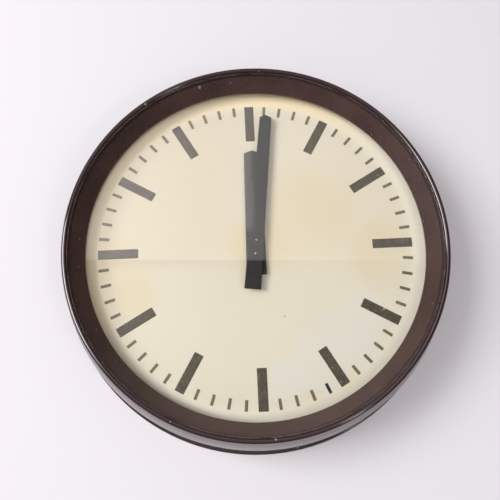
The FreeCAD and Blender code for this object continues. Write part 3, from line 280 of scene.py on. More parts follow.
@dataclass(frozen=True)
class Effect(ABC):
    """A shading effect that finishes share, kept once as a node group with its fields as inlets."""

    label: ClassVar[str]
    outlet: ClassVar[str] = "Mask"

    @classmethod
    @abstractmethod
    def draw(cls, graph: Graph) -> Socket:
        """Draws the effect's nodes.

        Args:
            graph: The group's nodes.

        Returns:
            What goes to the outlet.
        """

    def group(self) -> bpy.types.NodeTree:
        """Draws the node group on first use.

        Returns:
            The group.
        """
        kept = bpy.data.node_groups.get(self.label)
        if kept:
            return kept
        tree = bpy.data.node_groups.new(self.label, "ShaderNodeTree")
        tree.interface.new_socket("Vector", in_out="INPUT", socket_type="NodeSocketVector")
        for name in asdict(self):
            tree.interface.new_socket(name, in_out="INPUT", socket_type="NodeSocketFloat")
        tree.interface.new_socket(self.outlet, in_out="OUTPUT", socket_type="NodeSocketFloat")
        graph = Graph(tree, "NodeGroupInput", "Vector")
        graph.add("NodeGroupOutput", {0: self.draw(graph)})
        return tree

    def lay(self, graph: Graph) -> Socket:
        """Gives the effect's outlet among a material's nodes."""
        values = {"Vector": graph.place, **asdict(self)}
        return graph.add("ShaderNodeGroup", values, node_tree=self.group()).outputs[0]


@dataclass(frozen=True)
class Specks(Effect):
    """Loose grains: small round dots, one to a random cell, in a share of the cells."""

    label = "specks"
    smallest: ClassVar[float] = 0.3
    core: ClassVar[float] = 0.5
    density: float
    share: float
    size: float

    @classmethod
    def draw(cls, graph: Graph) -> Socket:
        """Marks the points nearer to a chosen cell's middle than a random part of the size.

        Args:
            graph: The group's nodes.

        Returns:
            The mask.
        """
        values = {"Vector": graph.place, "Scale": graph.inlet["density"]}
        cells = graph.add("ShaderNodeTexVoronoi", values).outputs
        lots = graph.add("ShaderNodeSeparateColor", {0: cells["Color"]}).outputs
        reach = graph.times(graph.inlet["size"], graph.plus(lots[1], cls.smallest))
        dot = graph.step(cells["Distance"], reach, graph.times(reach, cls.core))
        return graph.times(dot, graph.math("LESS_THAN", lots[0], graph.inlet["share"]))


@dataclass(frozen=True)
class Clouds(Effect):
    """Slow patches with finer ones inside them."""

    label = "clouds"
    outlet = "Value"
    detail: ClassVar[float] = 5.0
    scale: float
    contrast: float

    @classmethod
    def draw(cls, graph: Graph) -> Socket:
        """Spreads layered noise around its middle by the contrast.

        Args:
            graph: The group's nodes.

        Returns:
            A value from 0 to 1.
        """
        noise = graph.noise(graph.inlet["scale"], cls.detail)
        low = graph.minus(NOISE_MIDDLE, graph.inlet["contrast"])
        return graph.step(noise, low, graph.plus(NOISE_MIDDLE, graph.inlet["contrast"]))


@dataclass(frozen=True)
class Hairlines(Effect):
    """Fine scratches: thin level lines of a stretched noise, kept in patches."""

    label = "hairlines"
    pull: ClassVar[Point] = (1.0, 1.0, 0.35)
    turn: ClassVar[Point] = (0.0, 0.6, 0.0)
    patches: ClassVar[float] = 1.7
    patch_edge: ClassVar[Ramp] = (0.95, 0.75)
    scale: float
    width: float
    share: float

    @classmethod
    def draw(cls, graph: Graph) -> Socket:
        """Marks where the noise is within the width of its middle, in patches of about the share.

        Args:
            graph: The group's nodes.

        Returns:
            The mask.
        """
        noise = graph.noise(graph.inlet["scale"], 1.0, graph.stretch(cls.pull, cls.turn))
        line = graph.step(graph.apart(noise, NOISE_MIDDLE), graph.inlet["width"], 0.0)
        patch = graph.noise(graph.times(graph.inlet["scale"], cls.patches), 1.0)
        start, end = cls.patch_edge
        return graph.times(line, graph.step(patch, graph.minus(start, graph.inlet["share"]), end))


@dataclass(frozen=True)
class Stain(Effect):
    """A soft spot with a ragged border around a place in the plane of the dial."""

    label = "stain"
    waves: ClassVar[float] = 1.6
    detail: ClassVar[float] = 3.0
    fade: ClassVar[Ramp] = (1.0, 0.2)
    x: float
    z: float
    reach: float
    ragged: float = 0.4

    @classmethod
    def draw(cls, graph: Graph) -> Socket:
        """Falls from 1 at the place to 0 at the reach, with the distance shifted by noise.

        Args:
            graph: The group's nodes.

        Returns:
            The mask.
        """
        near = graph.over(graph.radius(graph.inlet["x"], graph.inlet["z"]), graph.inlet["reach"])
        noise = graph.noise(graph.over(cls.waves, graph.inlet["reach"]), cls.detail)
        shift = graph.over(graph.minus(noise, NOISE_MIDDLE), NOISE_MIDDLE)
        return graph.step(graph.plus(near, graph.times(shift, graph.inlet["ragged"])), *cls.fade)


@dataclass(frozen=True)
class ToolMarks(Effect):
    """Rings left by a turning tool about the hand axis."""

    label = "tool_marks"
    outlet = "Value"
    detail: ClassVar[float] = 2.0
    pitch: float

    @classmethod
    def draw(cls, graph: Graph) -> Socket:
        """Gives noise that changes only with the distance from the axis, anew at every pitch.

        Args:
            graph: The group's nodes.

        Returns:
            A value around one half.
        """
        rings = graph.over(graph.radius(), graph.inlet["pitch"])
        values = {"W": rings, "Scale": 1.0, "Detail": cls.detail}
        return graph.add("ShaderNodeTexNoise", values, noise_dimensions="1D").outputs[0]


@dataclass(frozen=True)
class Finish(ABC):
    """How one material of the clock looks."""

    slot: Slot

    @property
    def name(self) -> str:
        """Names the material after its slot and its kind."""
        return f"{self.slot.value}_{type(self).__name__.lower()}"

    def material(self) -> bpy.types.Material:
        """Draws the material on first use.

        Returns:
            The material.
        """
        made = bpy.data.materials.get(self.name)
        if made:
            return made
        made = bpy.data.materials.new(self.name)
        made.use_nodes = True
        graph = Graph(made.node_tree)
        graph.add("ShaderNodeOutputMaterial", {"Surface": self.shade(graph)})
        return made

    @abstractmethod
    def shade(self, graph: Graph) -> Socket:
        """Draws the shader.

        Args:
            graph: The material's nodes.

        Returns:
            The shader's outlet.
        """


@dataclass(frozen=True)
class Moulded(Finish):
    """A pressed moulding: two clouded shades, flecks, dust, chips and hand-polished edges."""

    base: Colour
    deep: Colour
    fleck: Colour
    polish_and_shade: Colour
    roughness: float
    gloss: float
    dust: Specks
    bottom_share: float = 0.0
    pale_spots: tuple[Spot, ...] = ()
    cloud: Clouds = Clouds(26.0, 0.25)
    grain: Clouds = Clouds(420.0, 0.35)
    nicks: Specks = Specks(330.0, 0.02, 0.2)
    bottom_tint: Colour = tone(150, 132, 122)
    bottom_fade: Ramp = (-0.03, -0.16)
    chipped: Colour = tone(190, 180, 172)
    smoothing: float = 0.75
    coat_roughness: float = 0.02
    relief: Ramp = (0.00003, 0.2)

    def shade(self, graph: Graph) -> Socket:
        """Clouds the shades, pales them towards the bottom, polishes the edges, lays dust and
        chipped spots on top.

        Args:
            graph: The material's nodes.

        Returns:
            The shader's outlet.
        """
        cloud, grain = self.cloud.lay(graph), self.grain.lay(graph)
        wear = graph.add("ShaderNodeAttribute", attribute_name="wear").outputs["Fac"]
        nicks = graph.times(wear, self.nicks.lay(graph))
        pale = graph.most(self.dust.lay(graph), nicks)
        pale = graph.most(pale, graph.spots(self.pale_spots))
        low = graph.step(graph.split()["Z"], *self.bottom_fade)
        colour = graph.layers(
            self.deep,
            (cloud, 1.0, self.base),
            (grain, 0.55, self.fleck),
            # Paler towards the bottom.
            (low, self.bottom_share, self.bottom_tint),
            # Worn edges take a darker colour and a coat of polish; on the case's base flange the
            # darkening is also painted shade.
            (wear, 0.9, self.polish_and_shade),
            (pale, 0.6, self.chipped),
        )
        rough = graph.plus(graph.times(cloud, 0.06), self.roughness)
        rough = graph.times(rough, graph.minus(1.0, graph.times(wear, self.smoothing)))
        height = graph.times(grain, graph.minus(1.0, wear))
        values = {
            "Base Color": colour,
            "Roughness": graph.plus(rough, graph.times(pale, 0.3)),
            "Coat Weight": graph.times(wear, self.gloss),
            "Coat Roughness": self.coat_roughness,
            "Normal": graph.bump(height, *self.relief),
        }
        return graph.add(PRINCIPLED, values).outputs[0]


@dataclass(frozen=True)
class Metal(Finish):
    """A worked metal: drawn or turned marks, tarnish in patches, and a few dull spots."""

    base: Colour
    tarnish: Colour
    roughness: float
    grain: Point = (900.0, 900.0, 40.0)
    grain_detail: float = 4.0
    rings: ToolMarks = ToolMarks(0.0004)
    patches: Clouds = Clouds(90.0, 0.2)
    dulled: Specks = Specks(420.0, 0.12, 0.3)
    relief: Ramp = (0.00002, 0.3)

    def shade(self, graph: Graph) -> Socket:
        """Tarnishes the metal in patches, and roughens it by the drawn grain and the tool marks.

        Args:
            graph: The material's nodes.

        Returns:
            The shader's outlet.
        """
        drawn = graph.noise(1.0, self.grain_detail, graph.stretch(self.grain))
        marks = graph.times(graph.plus(drawn, self.rings.lay(graph)), 0.5)
        spots = self.dulled.lay(graph)
        patch = self.patches.lay(graph)
        rough = graph.plus(graph.times(marks, 0.2), self.roughness)
        values = {
            "Base Color": graph.layers(
                self.base, (patch, 0.5, self.tarnish), (spots, 0.6, self.tarnish)
            ),
            "Metallic": 1.0,
            "Roughness": graph.plus(rough, graph.times(spots, 0.2)),
            "Normal": graph.bump(marks, *self.relief),
        }
        return graph.add(PRINCIPLED, values).outputs[0]


@dataclass(frozen=True)
class AgedDial(Finish):
    """Aged cream enamel: stained, specked, scuffed and greyer in patches, with a yellower painted
    shade above and a painted lighter edge.
    """

    base: Colour
    yellowing_and_shade: Colour
    warm: Colour
    brown: Colour
    warm_rim_light: Colour
    # Painted light: the lighter colour of the rim, set against the bezel's shadow.
    pale: Colour
    greyed: Colour
    dirt: Colour
    speck: Colour
    stains: tuple[Spot, ...]
    grey_patches: tuple[Spot, ...]
    specks: tuple[Spot, ...]
    cloud: Clouds = Clouds(14.0, 0.3)
    grime: Specks = Specks(95.0, 0.12, 0.05)
    scuffs: Hairlines = Hairlines(16.0, 0.003, 0.4)
    rim_fade: Ramp = (0.125, 0.139)
    warm_rim_light_fade: Ramp = (-0.06, 0.12)
    # Painted shade: the enamel above the glass's reflection edge is darker, more at the left, to
    # offset the reflected veil.
    upper_fade: Ramp = (-0.02, 0.002)
    shade_left_fade: Ramp = (0.06, -0.09)
    shade_right_share: float = 0.25
    grey_patch_fade: Ramp = (0.12, 0.45)
    relief: Ramp = (0.00003, 0.2)

    def shade(self, graph: Graph) -> Socket:
        """Darkens the upper half as painted shade, stains the enamel, greys patches and lightens
        its edge as painted light.

        Args:
            graph: The material's nodes.

        Returns:
            The shader's outlet.
        """
        parts = graph.split()
        cloud = self.cloud.lay(graph)
        rim = graph.step(graph.radius(), *self.rim_fade)
        lean = graph.step(graph.minus(parts["Z"], parts["X"]), *self.warm_rim_light_fade)
        left = graph.plus(graph.step(parts["X"], *self.shade_left_fade), self.shade_right_share)
        colour = graph.layers(
            self.base,
            (cloud, 0.2, self.yellowing_and_shade),
            # Painted shade above the reflection edge, stronger at the left.
            (graph.times(graph.step(parts["Z"], *self.upper_fade), left), 1.0, self.yellowing_and_shade),
            (graph.spots(self.stains), 0.38, self.warm),
            # Greyer, paler patches at the lower right.
            (graph.step(graph.spots(self.grey_patches), *self.grey_patch_fade), 0.8, self.greyed),
            # Painted light: the rim is lightened all round to offset the bezel's shadow.
            (rim, 0.9, self.pale),
            # Yellowing and painted light: the upper-left rim is painted warmer and lighter where
            # the bezel's shadow falls most.
            (graph.times(rim, lean), 0.7, self.warm_rim_light),
            (self.scuffs.lay(graph), 0.1, self.brown),
            (self.grime.lay(graph), 0.4, self.dirt),
            (graph.spots(self.specks), 0.8, self.speck),
        )
        values = {
            "Base Color": colour,
            "Roughness": graph.plus(graph.times(cloud, 0.15), 0.5),
            "Specular IOR Level": 0.3,
            "Normal": graph.bump(cloud, *self.relief),
        }
        return graph.add(PRINCIPLED, values).outputs[0]


@dataclass(frozen=True)
class Paint(Finish):
    """A thin coat of paint or ink: uneven cover, rubbed specks where its ground shows, dust."""

    base: Colour
    thin: Colour
    bare: Colour
    roughness: float
    gloss: float
    rubbed: Specks
    dust: Specks
    grain: float = 0.0
    pale_spots: tuple[Spot, ...] = ()
    fresh: tuple[Spot, ...] = ()
    cover: Clouds = Clouds(160.0, 0.3)
    fine: Clouds = Clouds(800.0, 0.2)
    scuffs: Hairlines = Hairlines(70.0, 0.012, 0.5)
    dusty: Colour = tone(190, 184, 172)
    full: Colour = tone(14, 13, 13)
    relief: Ramp = (0.00003, 0.25)

    def shade(self, graph: Graph) -> Socket:
        """Thins the coat in clouds and grains it, then lays specks, dust and pale spots on it:
        chipped print on the marks, painted sheen on the hands.

        Args:
            graph: The material's nodes.

        Returns:
            The shader's outlet.
        """
        cover = self.cover.lay(graph)
        colour = graph.layers(
            self.base,
            (cover, 1.0, self.thin),
            (self.fine.lay(graph), self.grain, self.bare),
            (self.rubbed.lay(graph), 0.7, self.bare),
            (self.scuffs.lay(graph), 0.2, self.bare),
            (self.dust.lay(graph), 0.35, self.dusty),
            (graph.spots(self.fresh), 1.0, self.full),
            # Pale spots: chipped print, and on the hands a painted sheen.
            (graph.spots(self.pale_spots), 0.9, self.bare),
        )
        values = {
            "Base Color": colour,
            "Roughness": graph.plus(graph.times(cover, 0.15), self.roughness),
            "Specular IOR Level": self.gloss,
            "Normal": graph.bump(cover, *self.relief),
        }
        return graph.add(PRINCIPLED, values).outputs[0]


@dataclass(frozen=True)
class LighterPaint(Paint):
    """Paint or ink that is lighter than its neighbours."""


@dataclass(frozen=True)
class Glazing(Finish):
    """Clear flat glass with a little dust, which lets lamplight and bounced light through."""

    tint: Colour
    dust: Specks
    ior: float = 1.5

    def shade(self, graph: Graph) -> Socket:
        """Clears the glass for shadow and diffuse rays, and roughens it where dust lies.

        Args:
            graph: The material's nodes.

        Returns:
            The shader's outlet.
        """
        values = {
            "Base Color": self.tint,
            "Roughness": graph.times(self.dust.lay(graph), 0.6),
            "IOR": self.ior,
            "Transmission Weight": 1.0,
        }
        glass = graph.add(PRINCIPLED, values).outputs[0]
        clear = graph.add("ShaderNodeBsdfTransparent", {"Color": self.tint}).outputs[0]
        ray = graph.add("ShaderNodeLightPath").outputs
        unseen = graph.most(ray["Is Shadow Ray"], ray["Is Diffuse Ray"])
        return graph.add("ShaderNodeMixShader", {0: unseen, 1: glass, 2: clear}).outputs[0]


@dataclass(frozen=True)
class Threaded(Finish):
    """Something wound or woven: fine ridges of one pitch along an axis, with darker valleys."""

    base: Colour
    valley: Colour
    pitch: float
    lean: Point
    metallic: float
    roughness: float
    patches: Clouds = Clouds(180.0, 0.3)
    distortion: float = 0.6
    relief: Ramp = (0.0001, 0.6)

    def shade(self, graph: Graph) -> Socket:
        """Runs a wave of the given pitch along the axis, and clouds its colour.

        Args:
            graph: The material's nodes.

        Returns:
            The shader's outlet.
        """
        wave_values = {
            "Vector": graph.stretch(self.lean),
            "Scale": FULL_TURN / (WAVE_STEP * self.pitch),
            "Distortion": self.distortion,
        }
        wave = graph.add("ShaderNodeTexWave", wave_values).outputs[1]
        patch = self.patches.lay(graph)
        values = {
            "Base Color": graph.layers(
                self.valley, (wave, 1.0, self.base), (patch, 0.35, self.valley)
            ),
            "Metallic": self.metallic,
            "Roughness": graph.plus(graph.times(patch, 0.2), self.roughness),
            "Normal": graph.bump(wave, *self.relief),
        }
        return graph.add(PRINCIPLED, values).outputs[0]


BAKELITE = Moulded(
    Slot.BAKELITE,
    base=tone(71, 48, 45),
    deep=tone(50, 32, 31),
    fleck=tone(88, 66, 60),
    polish_and_shade=tone(46, 28, 33),
    roughness=0.36,
    gloss=1.0,
    dust=Specks(260.0, 0.08, 0.16),
    bottom_share=0.2,
    pale_spots=(Spot(-42.0, 140.5, 1.5), Spot(-87.5, 122.4, 1.2), Spot(6.8, -150.4, 1.2)),
)
INSULATOR = Moulded(
    Slot.INSULATOR,
    base=tone(96, 66, 44),
    deep=tone(74, 48, 32),
    fleck=tone(120, 86, 58),
    polish_and_shade=tone(60, 40, 28),
    roughness=0.5,
    gloss=0.0,
    dust=Specks(260.0, 0.1, 0.16),
)
RUBBER = Moulded(
    Slot.RUBBER,
    base=tone(36, 36, 36),
    deep=tone(26, 26, 27),
    fleck=tone(52, 51, 50),
    polish_and_shade=tone(22, 22, 22),
    roughness=0.62,
    gloss=0.0,
    dust=Specks(260.0, 0.2, 0.16),
)
GLASS = Glazing(Slot.GLASS, (0.985, 0.99, 0.985, 1.0), Specks(210.0, 0.06, 0.07))
STEEL = Metal(Slot.STEEL, (0.60, 0.60, 0.61, 1.0), (0.34, 0.32, 0.30, 1.0), 0.28)
BRASS = Metal(Slot.BRASS, (0.70, 0.50, 0.20, 1.0), (0.42, 0.27, 0.10, 1.0), 0.26)
SOFT_IRON = Metal(Slot.SOFT_IRON, (0.30, 0.30, 0.31, 1.0), (0.17, 0.15, 0.14, 1.0), 0.45)
MAGNET = Metal(Slot.MAGNET, (0.16, 0.16, 0.17, 1.0), (0.09, 0.085, 0.08, 1.0), 0.35)
RIVET_METAL = Metal(Slot.RIVET_METAL, (0.75, 0.75, 0.76, 1.0), (0.5, 0.49, 0.48, 1.0), 0.2)
DIAL_PAINT = AgedDial(
    Slot.DIAL_PAINT,
    base=tone(230, 221, 201),
    yellowing_and_shade=tone(217, 205, 181),
    warm=tone(222, 199, 148),
    brown=tone(204, 172, 116),
    warm_rim_light=tone(250, 223, 163),
    pale=tone(249, 240, 220),
    greyed=tone(226, 221, 208),
    dirt=tone(110, 88, 60),
    speck=tone(60, 50, 40),
    stains=(
        Spot(-8.0, 4.0, 30.0),
        Spot(14.0, 8.0, 34.0),
        Spot(52.0, 30.0, 60.0),
        Spot(104.0, -4.0, 44.0),
        Spot(-130.0, 0.0, 40.0),
        Spot(-104.0, -32.0, 34.0),
        Spot(60.0, -124.0, 40.0),
    ),
    grey_patches=(
        Spot(22.0, -106.0, 24.0),
        Spot(48.0, -97.0, 32.0),
        Spot(72.0, -76.0, 36.0),
        Spot(88.0, -58.0, 26.0),
    ),
    specks=(Spot(20.5, -57.7, 0.9), Spot(-53.0, 64.9, 0.7)),
)
MARK_PRINT = Paint(
    Slot.MARK_PRINT,
    base=tone(50, 45, 34),
    thin=tone(64, 57, 45),
    bare=tone(206, 186, 150),
    roughness=0.5,
    gloss=0.3,
    rubbed=Specks(700.0, 0.2, 0.35),
    dust=Specks(380.0, 0.05, 0.18),
    grain=0.1,
    pale_spots=(Spot(101.8, -55.2, 1.2), Spot(56.5, -108.1, 1.2)),
)
MINUTE_PRINT = LighterPaint(
    Slot.MARK_PRINT,
    base=tone(98, 84, 58),
    thin=tone(112, 97, 70),
    bare=tone(206, 186, 150),
    roughness=0.5,
    gloss=0.3,
    rubbed=Specks(700.0, 0.06, 0.35),
    dust=Specks(380.0, 0.05, 0.18),
    grain=0.1,
    fresh=(Spot(51.7, -115.3, 7.0),),
)
HAND_PAINT = Paint(
    Slot.HAND_PAINT,
    base=tone(30, 29, 28),
    thin=tone(40, 38, 37),
    bare=tone(96, 92, 90),
    roughness=0.6,
    gloss=0.2,
    rubbed=Specks(700.0, 0.05, 0.35),
    dust=Specks(380.0, 0.1, 0.18),
    grain=0.06,
    # Painted sheen: a pale strip of spots down the hands' left side.
    pale_spots=tuple(Spot(-7.5, float(along), 12.0) for along in range(24, 108, 6)),
)
LEAD_SLEEVE = Threaded(
    Slot.LEAD_SLEEVE,
    base=tone(150, 62, 52),
    valley=tone(92, 34, 30),
    pitch=0.0006,
    lean=(1.0, 1.0, 1.0),
    metallic=0.0,
    roughness=0.7,
)
COPPER = Threaded(
    Slot.COPPER,
    base=(0.62, 0.27, 0.13, 1.0),
    valley=(0.28, 0.10, 0.05, 1.0),
    pitch=0.0004,
    lean=(1.0, 0.0, 0.0),
    metallic=0.9,
    roughness=0.3,
)


@dataclass(frozen=True)
class Corner:
    """A corner of a profile: radius, depth from the wall and rounding in millimetres, and wear."""

    radius: float
    depth: float
    round: float
    wear: float = 0.0
    flat_wear: float = 0.0


def rounded(
    corners: list[Corner], steps: int = 8, flat: float = 0.3, flat_share: float = 0.25
) -> np.ndarray:
    """Rounds the corners of a closed profile.

    Each corner becomes an arc that touches both its edges: the arc's middle lies on the corner's
    bisector, round / sin(half the corner's angle) from it. A point a little way along each edge
    keeps the flats flat.

    Args:
        corners: The corners in order.
        steps: Points on each arc.
        flat: How far along an edge its own point lies, in millimetres.
        flat_share: The most of the edge's flat part that this takes.

    Returns:
        Radius, depth and wear of each point of the profile.
    """
    table = np.array([(c.radius, c.depth, c.round, c.wear, c.flat_wear) for c in corners])
    here, rounds, wear, flat_wear = np.split(table, (2, 3, 4), axis=1)
    back, ahead = np.roll(here, 1, axis=0) - here, np.roll(here, -1, axis=0) - here
    back_length, ahead_length = (np.hypot(*way.T)[:, None] for way in (back, ahead))
    back, ahead = back / back_length, ahead / ahead_length
    half = np.arccos(np.clip((back * ahead).sum(axis=1, keepdims=True), -1, 1)) / 2
    reach = rounds / np.tan(half)
    middle = (back + ahead) / np.hypot(*(back + ahead).T)[:, None]
    centre = here + middle * rounds / np.sin(half)
    start, end = here + back * reach, here + ahead * reach
    sweep = (math.pi - 2 * half)[:, None]
    share = np.linspace(0, 1, steps)[None, :, None]
    from_start = np.sin((1 - share) * sweep) * (start - centre)[:, None]
    from_end = np.sin(share * sweep) * (end - centre)[:, None]
    arc = centre[:, None] + (from_start + from_end) / np.sin(sweep)
    back_room = back_length - reach - np.roll(reach, 1)
    ahead_room = ahead_length - reach - np.roll(reach, -1)
    before = start + back * np.minimum(flat, flat_share * back_room)
    after = end + ahead * np.minimum(flat, flat_share * ahead_room)
    points = np.concatenate([before[:, None], arc, after[:, None]], axis=1)
    rubbed = np.concatenate([flat_wear, np.repeat(wear, steps, axis=1), flat_wear], axis=1)
    return np.concatenate([points, rubbed[:, :, None]], axis=2).reshape(-1, 3)


def full_turn(steps: int) -> np.ndarray:
    """Gives the angles of a whole turn, in radians."""
    return np.linspace(0, FULL_TURN, steps, endpoint=False)


@dataclass
class Surface:
    """A mesh as whole arrays: points in metres, faces, and how far each point is rubbed."""

    points: np.ndarray
    faces: list[list[int]]
    wear: np.ndarray
    merge_reach: ClassVar[float] = 1e-6

    @classmethod
    def swept(
        cls,
        profile: np.ndarray,
        angles: np.ndarray,
        centre: Point = (0.0, 0.0, 0.0),
        closed: bool = True,
        ring: bool = True,
    ) -> Surface:
        """Carries a profile round an axis along Y.

        A point at radius r and depth d, carried to angle a, lies at x = r sin a, y = -d and
        z = r cos a from the centre.

        Args:
            profile: Radius and depth of each point, in millimetres, and its wear.
            angles: The angles, in radians clockwise from the top.
            centre: A point on the axis, in millimetres.
            closed: Whether the profile's last point joins its first.
            ring: Whether the last angle joins the first; if not, both ends are closed.

        Returns:
            The surface.
        """
        rows, columns = len(angles), len(profile)
        radius, depth, turn = profile[None, :, 0], profile[None, :, 1], angles[:, None]
        parts = np.broadcast_arrays(radius * np.sin(turn), -depth, radius * np.cos(turn))
        points = (np.stack(parts, axis=-1).reshape(-1, 3) + centre) * MM
        grid = np.arange(rows * columns).reshape(rows, columns)
        following, beside = np.roll(grid, -1, axis=0), np.roll(grid, -1, axis=1)
        quads = np.stack([grid, beside, np.roll(following, -1, axis=1), following], axis=-1)
        quads = quads[: rows if ring else rows - 1, : columns if closed else columns - 1]
        ends = [] if ring else [grid[0, ::-1].tolist(), grid[-1].tolist()]
        return cls(points, quads.reshape(-1, 4).tolist() + ends, np.tile(profile[:, 2], rows))

    def joined(self, *others: Surface) -> Surface:
        """Puts surfaces together.

        Args:
            others: What joins this surface.

        Returns:
            All of them as one surface.
        """
        faces, count = list(self.faces), len(self.points)
        for other in others:
            faces.extend([[corner + count for corner in face] for face in other.faces])
            count += len(other.points)
        every = (self, *others)
        points = np.concatenate([part.points for part in every])
        return Surface(points, faces, np.concatenate([part.wear for part in every]))

    def piece(
        self, name: str, finish: Finish, sharp: float = 40.0, turn_out: bool = True
    ) -> bpy.types.Object:
        """Makes the object: doubles merged, faces turned out, smooth but for sharp edges.

        Args:
            name: The object's name.
            finish: What it is made of.
            sharp: The angle in degrees from which an edge stays sharp.
            turn_out: Whether the faces may point either way and have to be turned out.

        Returns:
            The object, linked into the scene.
        """
        mesh = bpy.data.meshes.new(name)
        mesh.from_pydata(self.points.tolist(), [], self.faces)
        worn = mesh.attributes.new("wear", "FLOAT", "POINT")
        worn.data.foreach_set("value", self.wear.astype(np.float32))
        form = bmesh.new()
        form.from_mesh(mesh)
        bmesh.ops.remove_doubles(form, verts=form.verts, dist=self.merge_reach)
        if turn_out:
            bmesh.ops.recalc_face_normals(form, faces=form.faces)
        form.to_mesh(mesh)
        form.free()
        mesh.shade_smooth()
        mesh.set_sharp_from_angle(angle=math.radians(sharp))
        mesh.materials.append(finish.material())
        made = bpy.data.objects.new(name, mesh)
        bpy.context.scene.collection.objects.link(made)
        return made


@dataclass
class Assembly:
    """A group of pieces that are built and dressed together."""

    nodes: dict[str, bpy.types.Object]
    finishes: ClassVar[dict[Finish, tuple[str, ...]]]

    def build(self) -> None:
        """Makes the pieces that CAD can't give; most groups have none."""

    def dress(self) -> None:
        """Puts each finish on its CAD nodes."""
        for finish, names in self.finishes.items():
            for name in names:
                mesh = self.nodes[name].data
                mesh.materials.clear()
                mesh.materials.append(finish.material())
                log.info("dressed %s with %s", name, finish.name)

    def carry(self, piece: bpy.types.Object, body: str, slot: Slot, *replaced: str) -> None:
        """Ties a piece to the frame.

        Args:
            piece: The piece.
            body: The body that it rides.
            slot: The record's slot of its material; not used.
            replaced: The CAD nodes that it stands for.
        """
        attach(piece, body)
        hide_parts(*replaced)
        log.info("built %s on %s for %s", piece.name, body, ", ".join(replaced))

    def span(self, node: str) -> np.ndarray:
        """Gives the low and the high corner of a CAD node's box, in millimetres."""
        return np.array(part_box(node)) / MM


@dataclass
class BezelAssembly(Assembly):
    """The moulded bezel with its glass, gasket and ring; sizes in millimetres and degrees."""

    finishes = {
        GLASS: ("front_glass",),
        RUBBER: ("glass_gasket",),
        STEEL: ("glass_retaining_ring", "ring_screws"),
    }
    opening_radius: float = 138.7
    lip_width: float = 2.9
    lip_height: float = 1.8
    lip_gap: float = 0.6
    lip_round: float = 0.5
    funnel_slope: float = 48.85
    skirt_flare: float = 13.0
    skirt_wall: float = 3.0
    skirt_bore: float = 155.0
    skirt_round: float = 1.0
    skirt_wear: float = 0.6
    skirt_flat_wear: float = 0.4
    bead_radius: float = 2.4
    bead_flat: float = 0.01
    bead_flat_wear: float = 0.5
    groove_width: float = 0.9
    groove_depth: float = 0.5
    groove_round: float = 0.15
    collar_wall: float = 2.5
    collar_round: float = 0.2
    seat_round: float = 0.1
    root_round: float = 0.5
    roof: float = 3.5
    roof_round: float = 0.8
    edge_round: float = 0.3
    lug_inner: float = 152.8
    lug_rear: float = 34.6
    lug_thickness: float = 3.0
    lug_angle: float = 38.0
    lug_span: float = 16.0
    lug_count: int = 3
    lug_steps: int = 16
    lug_round_steps: int = 4
    segments: int = 384

    def build(self) -> None:
        """Turns the bezel from its rounded section and adds the bayonet lugs."""
        shell = Surface.swept(rounded(self.section()), full_turn(self.segments))
        outer, soft = self.skirt_bore + self.skirt_wall / 2, self.edge_round
        front = self.lug_rear + self.lug_thickness
        block = [
            Corner(self.lug_inner, self.lug_rear, soft),
            Corner(outer, self.lug_rear, soft),
            Corner(outer, front, soft),
            Corner(self.lug_inner, front, soft),
        ]
        lug = rounded(block, self.lug_round_steps)
        middles = self.lug_angle + np.arange(self.lug_count) * 360 / self.lug_count
        half = self.lug_span / 2
        arcs = np.radians(np.linspace(middles - half, middles + half, self.lug_steps, axis=1))
        lugs = [Surface.swept(lug, arc, ring=False) for arc in arcs]
        piece = shell.joined(*lugs).piece("moulded_bezel", BAKELITE)
        self.carry(piece, "bezel", Slot.BAKELITE, "front_bezel")

    def section(self) -> list[Corner]:
        """Works out the bezel's section, its rear, front and seats from the CAD boxes.

        Returns:
            The corners in order.
        """
        low, high = self.span("front_bezel")
        ring_low, ring_high = self.span("glass_retaining_ring")
        skirt_radius, skirt_rear, crest = high[0], -high[1], -low[1]
        seat, collar_rear = -self.span("front_glass")[0, 1], -ring_low[1]
        collar_radius, collar_bore = ring_high[0], ring_high[0] - self.collar_wall
        rise = math.tan(math.radians(self.funnel_slope))
        spread = math.tan(math.radians(self.skirt_flare))
        lip_front, lip_back = seat + self.lip_height, seat + self.lip_gap
        lip_outer = self.opening_radius + self.lip_width
        collar_front = lip_back + (collar_bore - lip_outer) * rise
        bead_outer = skirt_radius - (crest - skirt_rear) * spread
        bead_round = self.bead_radius - self.bead_flat
        bead_turn = math.tan(math.radians(90 + self.skirt_flare) / 2)
        bead_inner = bead_outer - self.bead_radius * (1 + 1 / bead_turn)
        funnel_outer = bead_inner - self.groove_width
        funnel_front = lip_front + (funnel_outer - self.opening_radius) * rise
        groove_foot = funnel_front - self.groove_depth
        cavity_depth = funnel_front - self.roof
        cavity_radius = skirt_radius - (cavity_depth - skirt_rear) * spread - self.skirt_wall
        bore_depth = skirt_rear + (skirt_radius - self.skirt_wall - self.skirt_bore) / spread
        return [
            Corner(self.opening_radius, seat, self.groove_round),
            Corner(lip_outer, seat, self.seat_round),
            Corner(lip_outer, lip_back, self.seat_round),
            Corner(collar_bore, collar_front, self.root_round),
            Corner(collar_bore, collar_rear, self.collar_round),
            Corner(collar_radius, collar_rear, self.collar_round),
            Corner(collar_radius, cavity_depth, self.roof_round),
            Corner(cavity_radius, cavity_depth, self.roof_round),
            Corner(self.skirt_bore, bore_depth, self.root_round),
            Corner(self.skirt_bore, skirt_rear, self.edge_round),
            Corner(
                skirt_radius, skirt_rear, self.skirt_round, self.skirt_wear, self.skirt_flat_wear
            ),
            Corner(bead_outer, crest, bead_round, 1.0),
            Corner(bead_inner, crest, bead_round, 1.0, self.bead_flat_wear),
            Corner(bead_inner, groove_foot, self.groove_round),
            Corner(funnel_outer, groove_foot, self.groove_round),
            Corner(funnel_outer, funnel_front, self.edge_round),
            Corner(self.opening_radius, lip_front, self.lip_round),
        ]


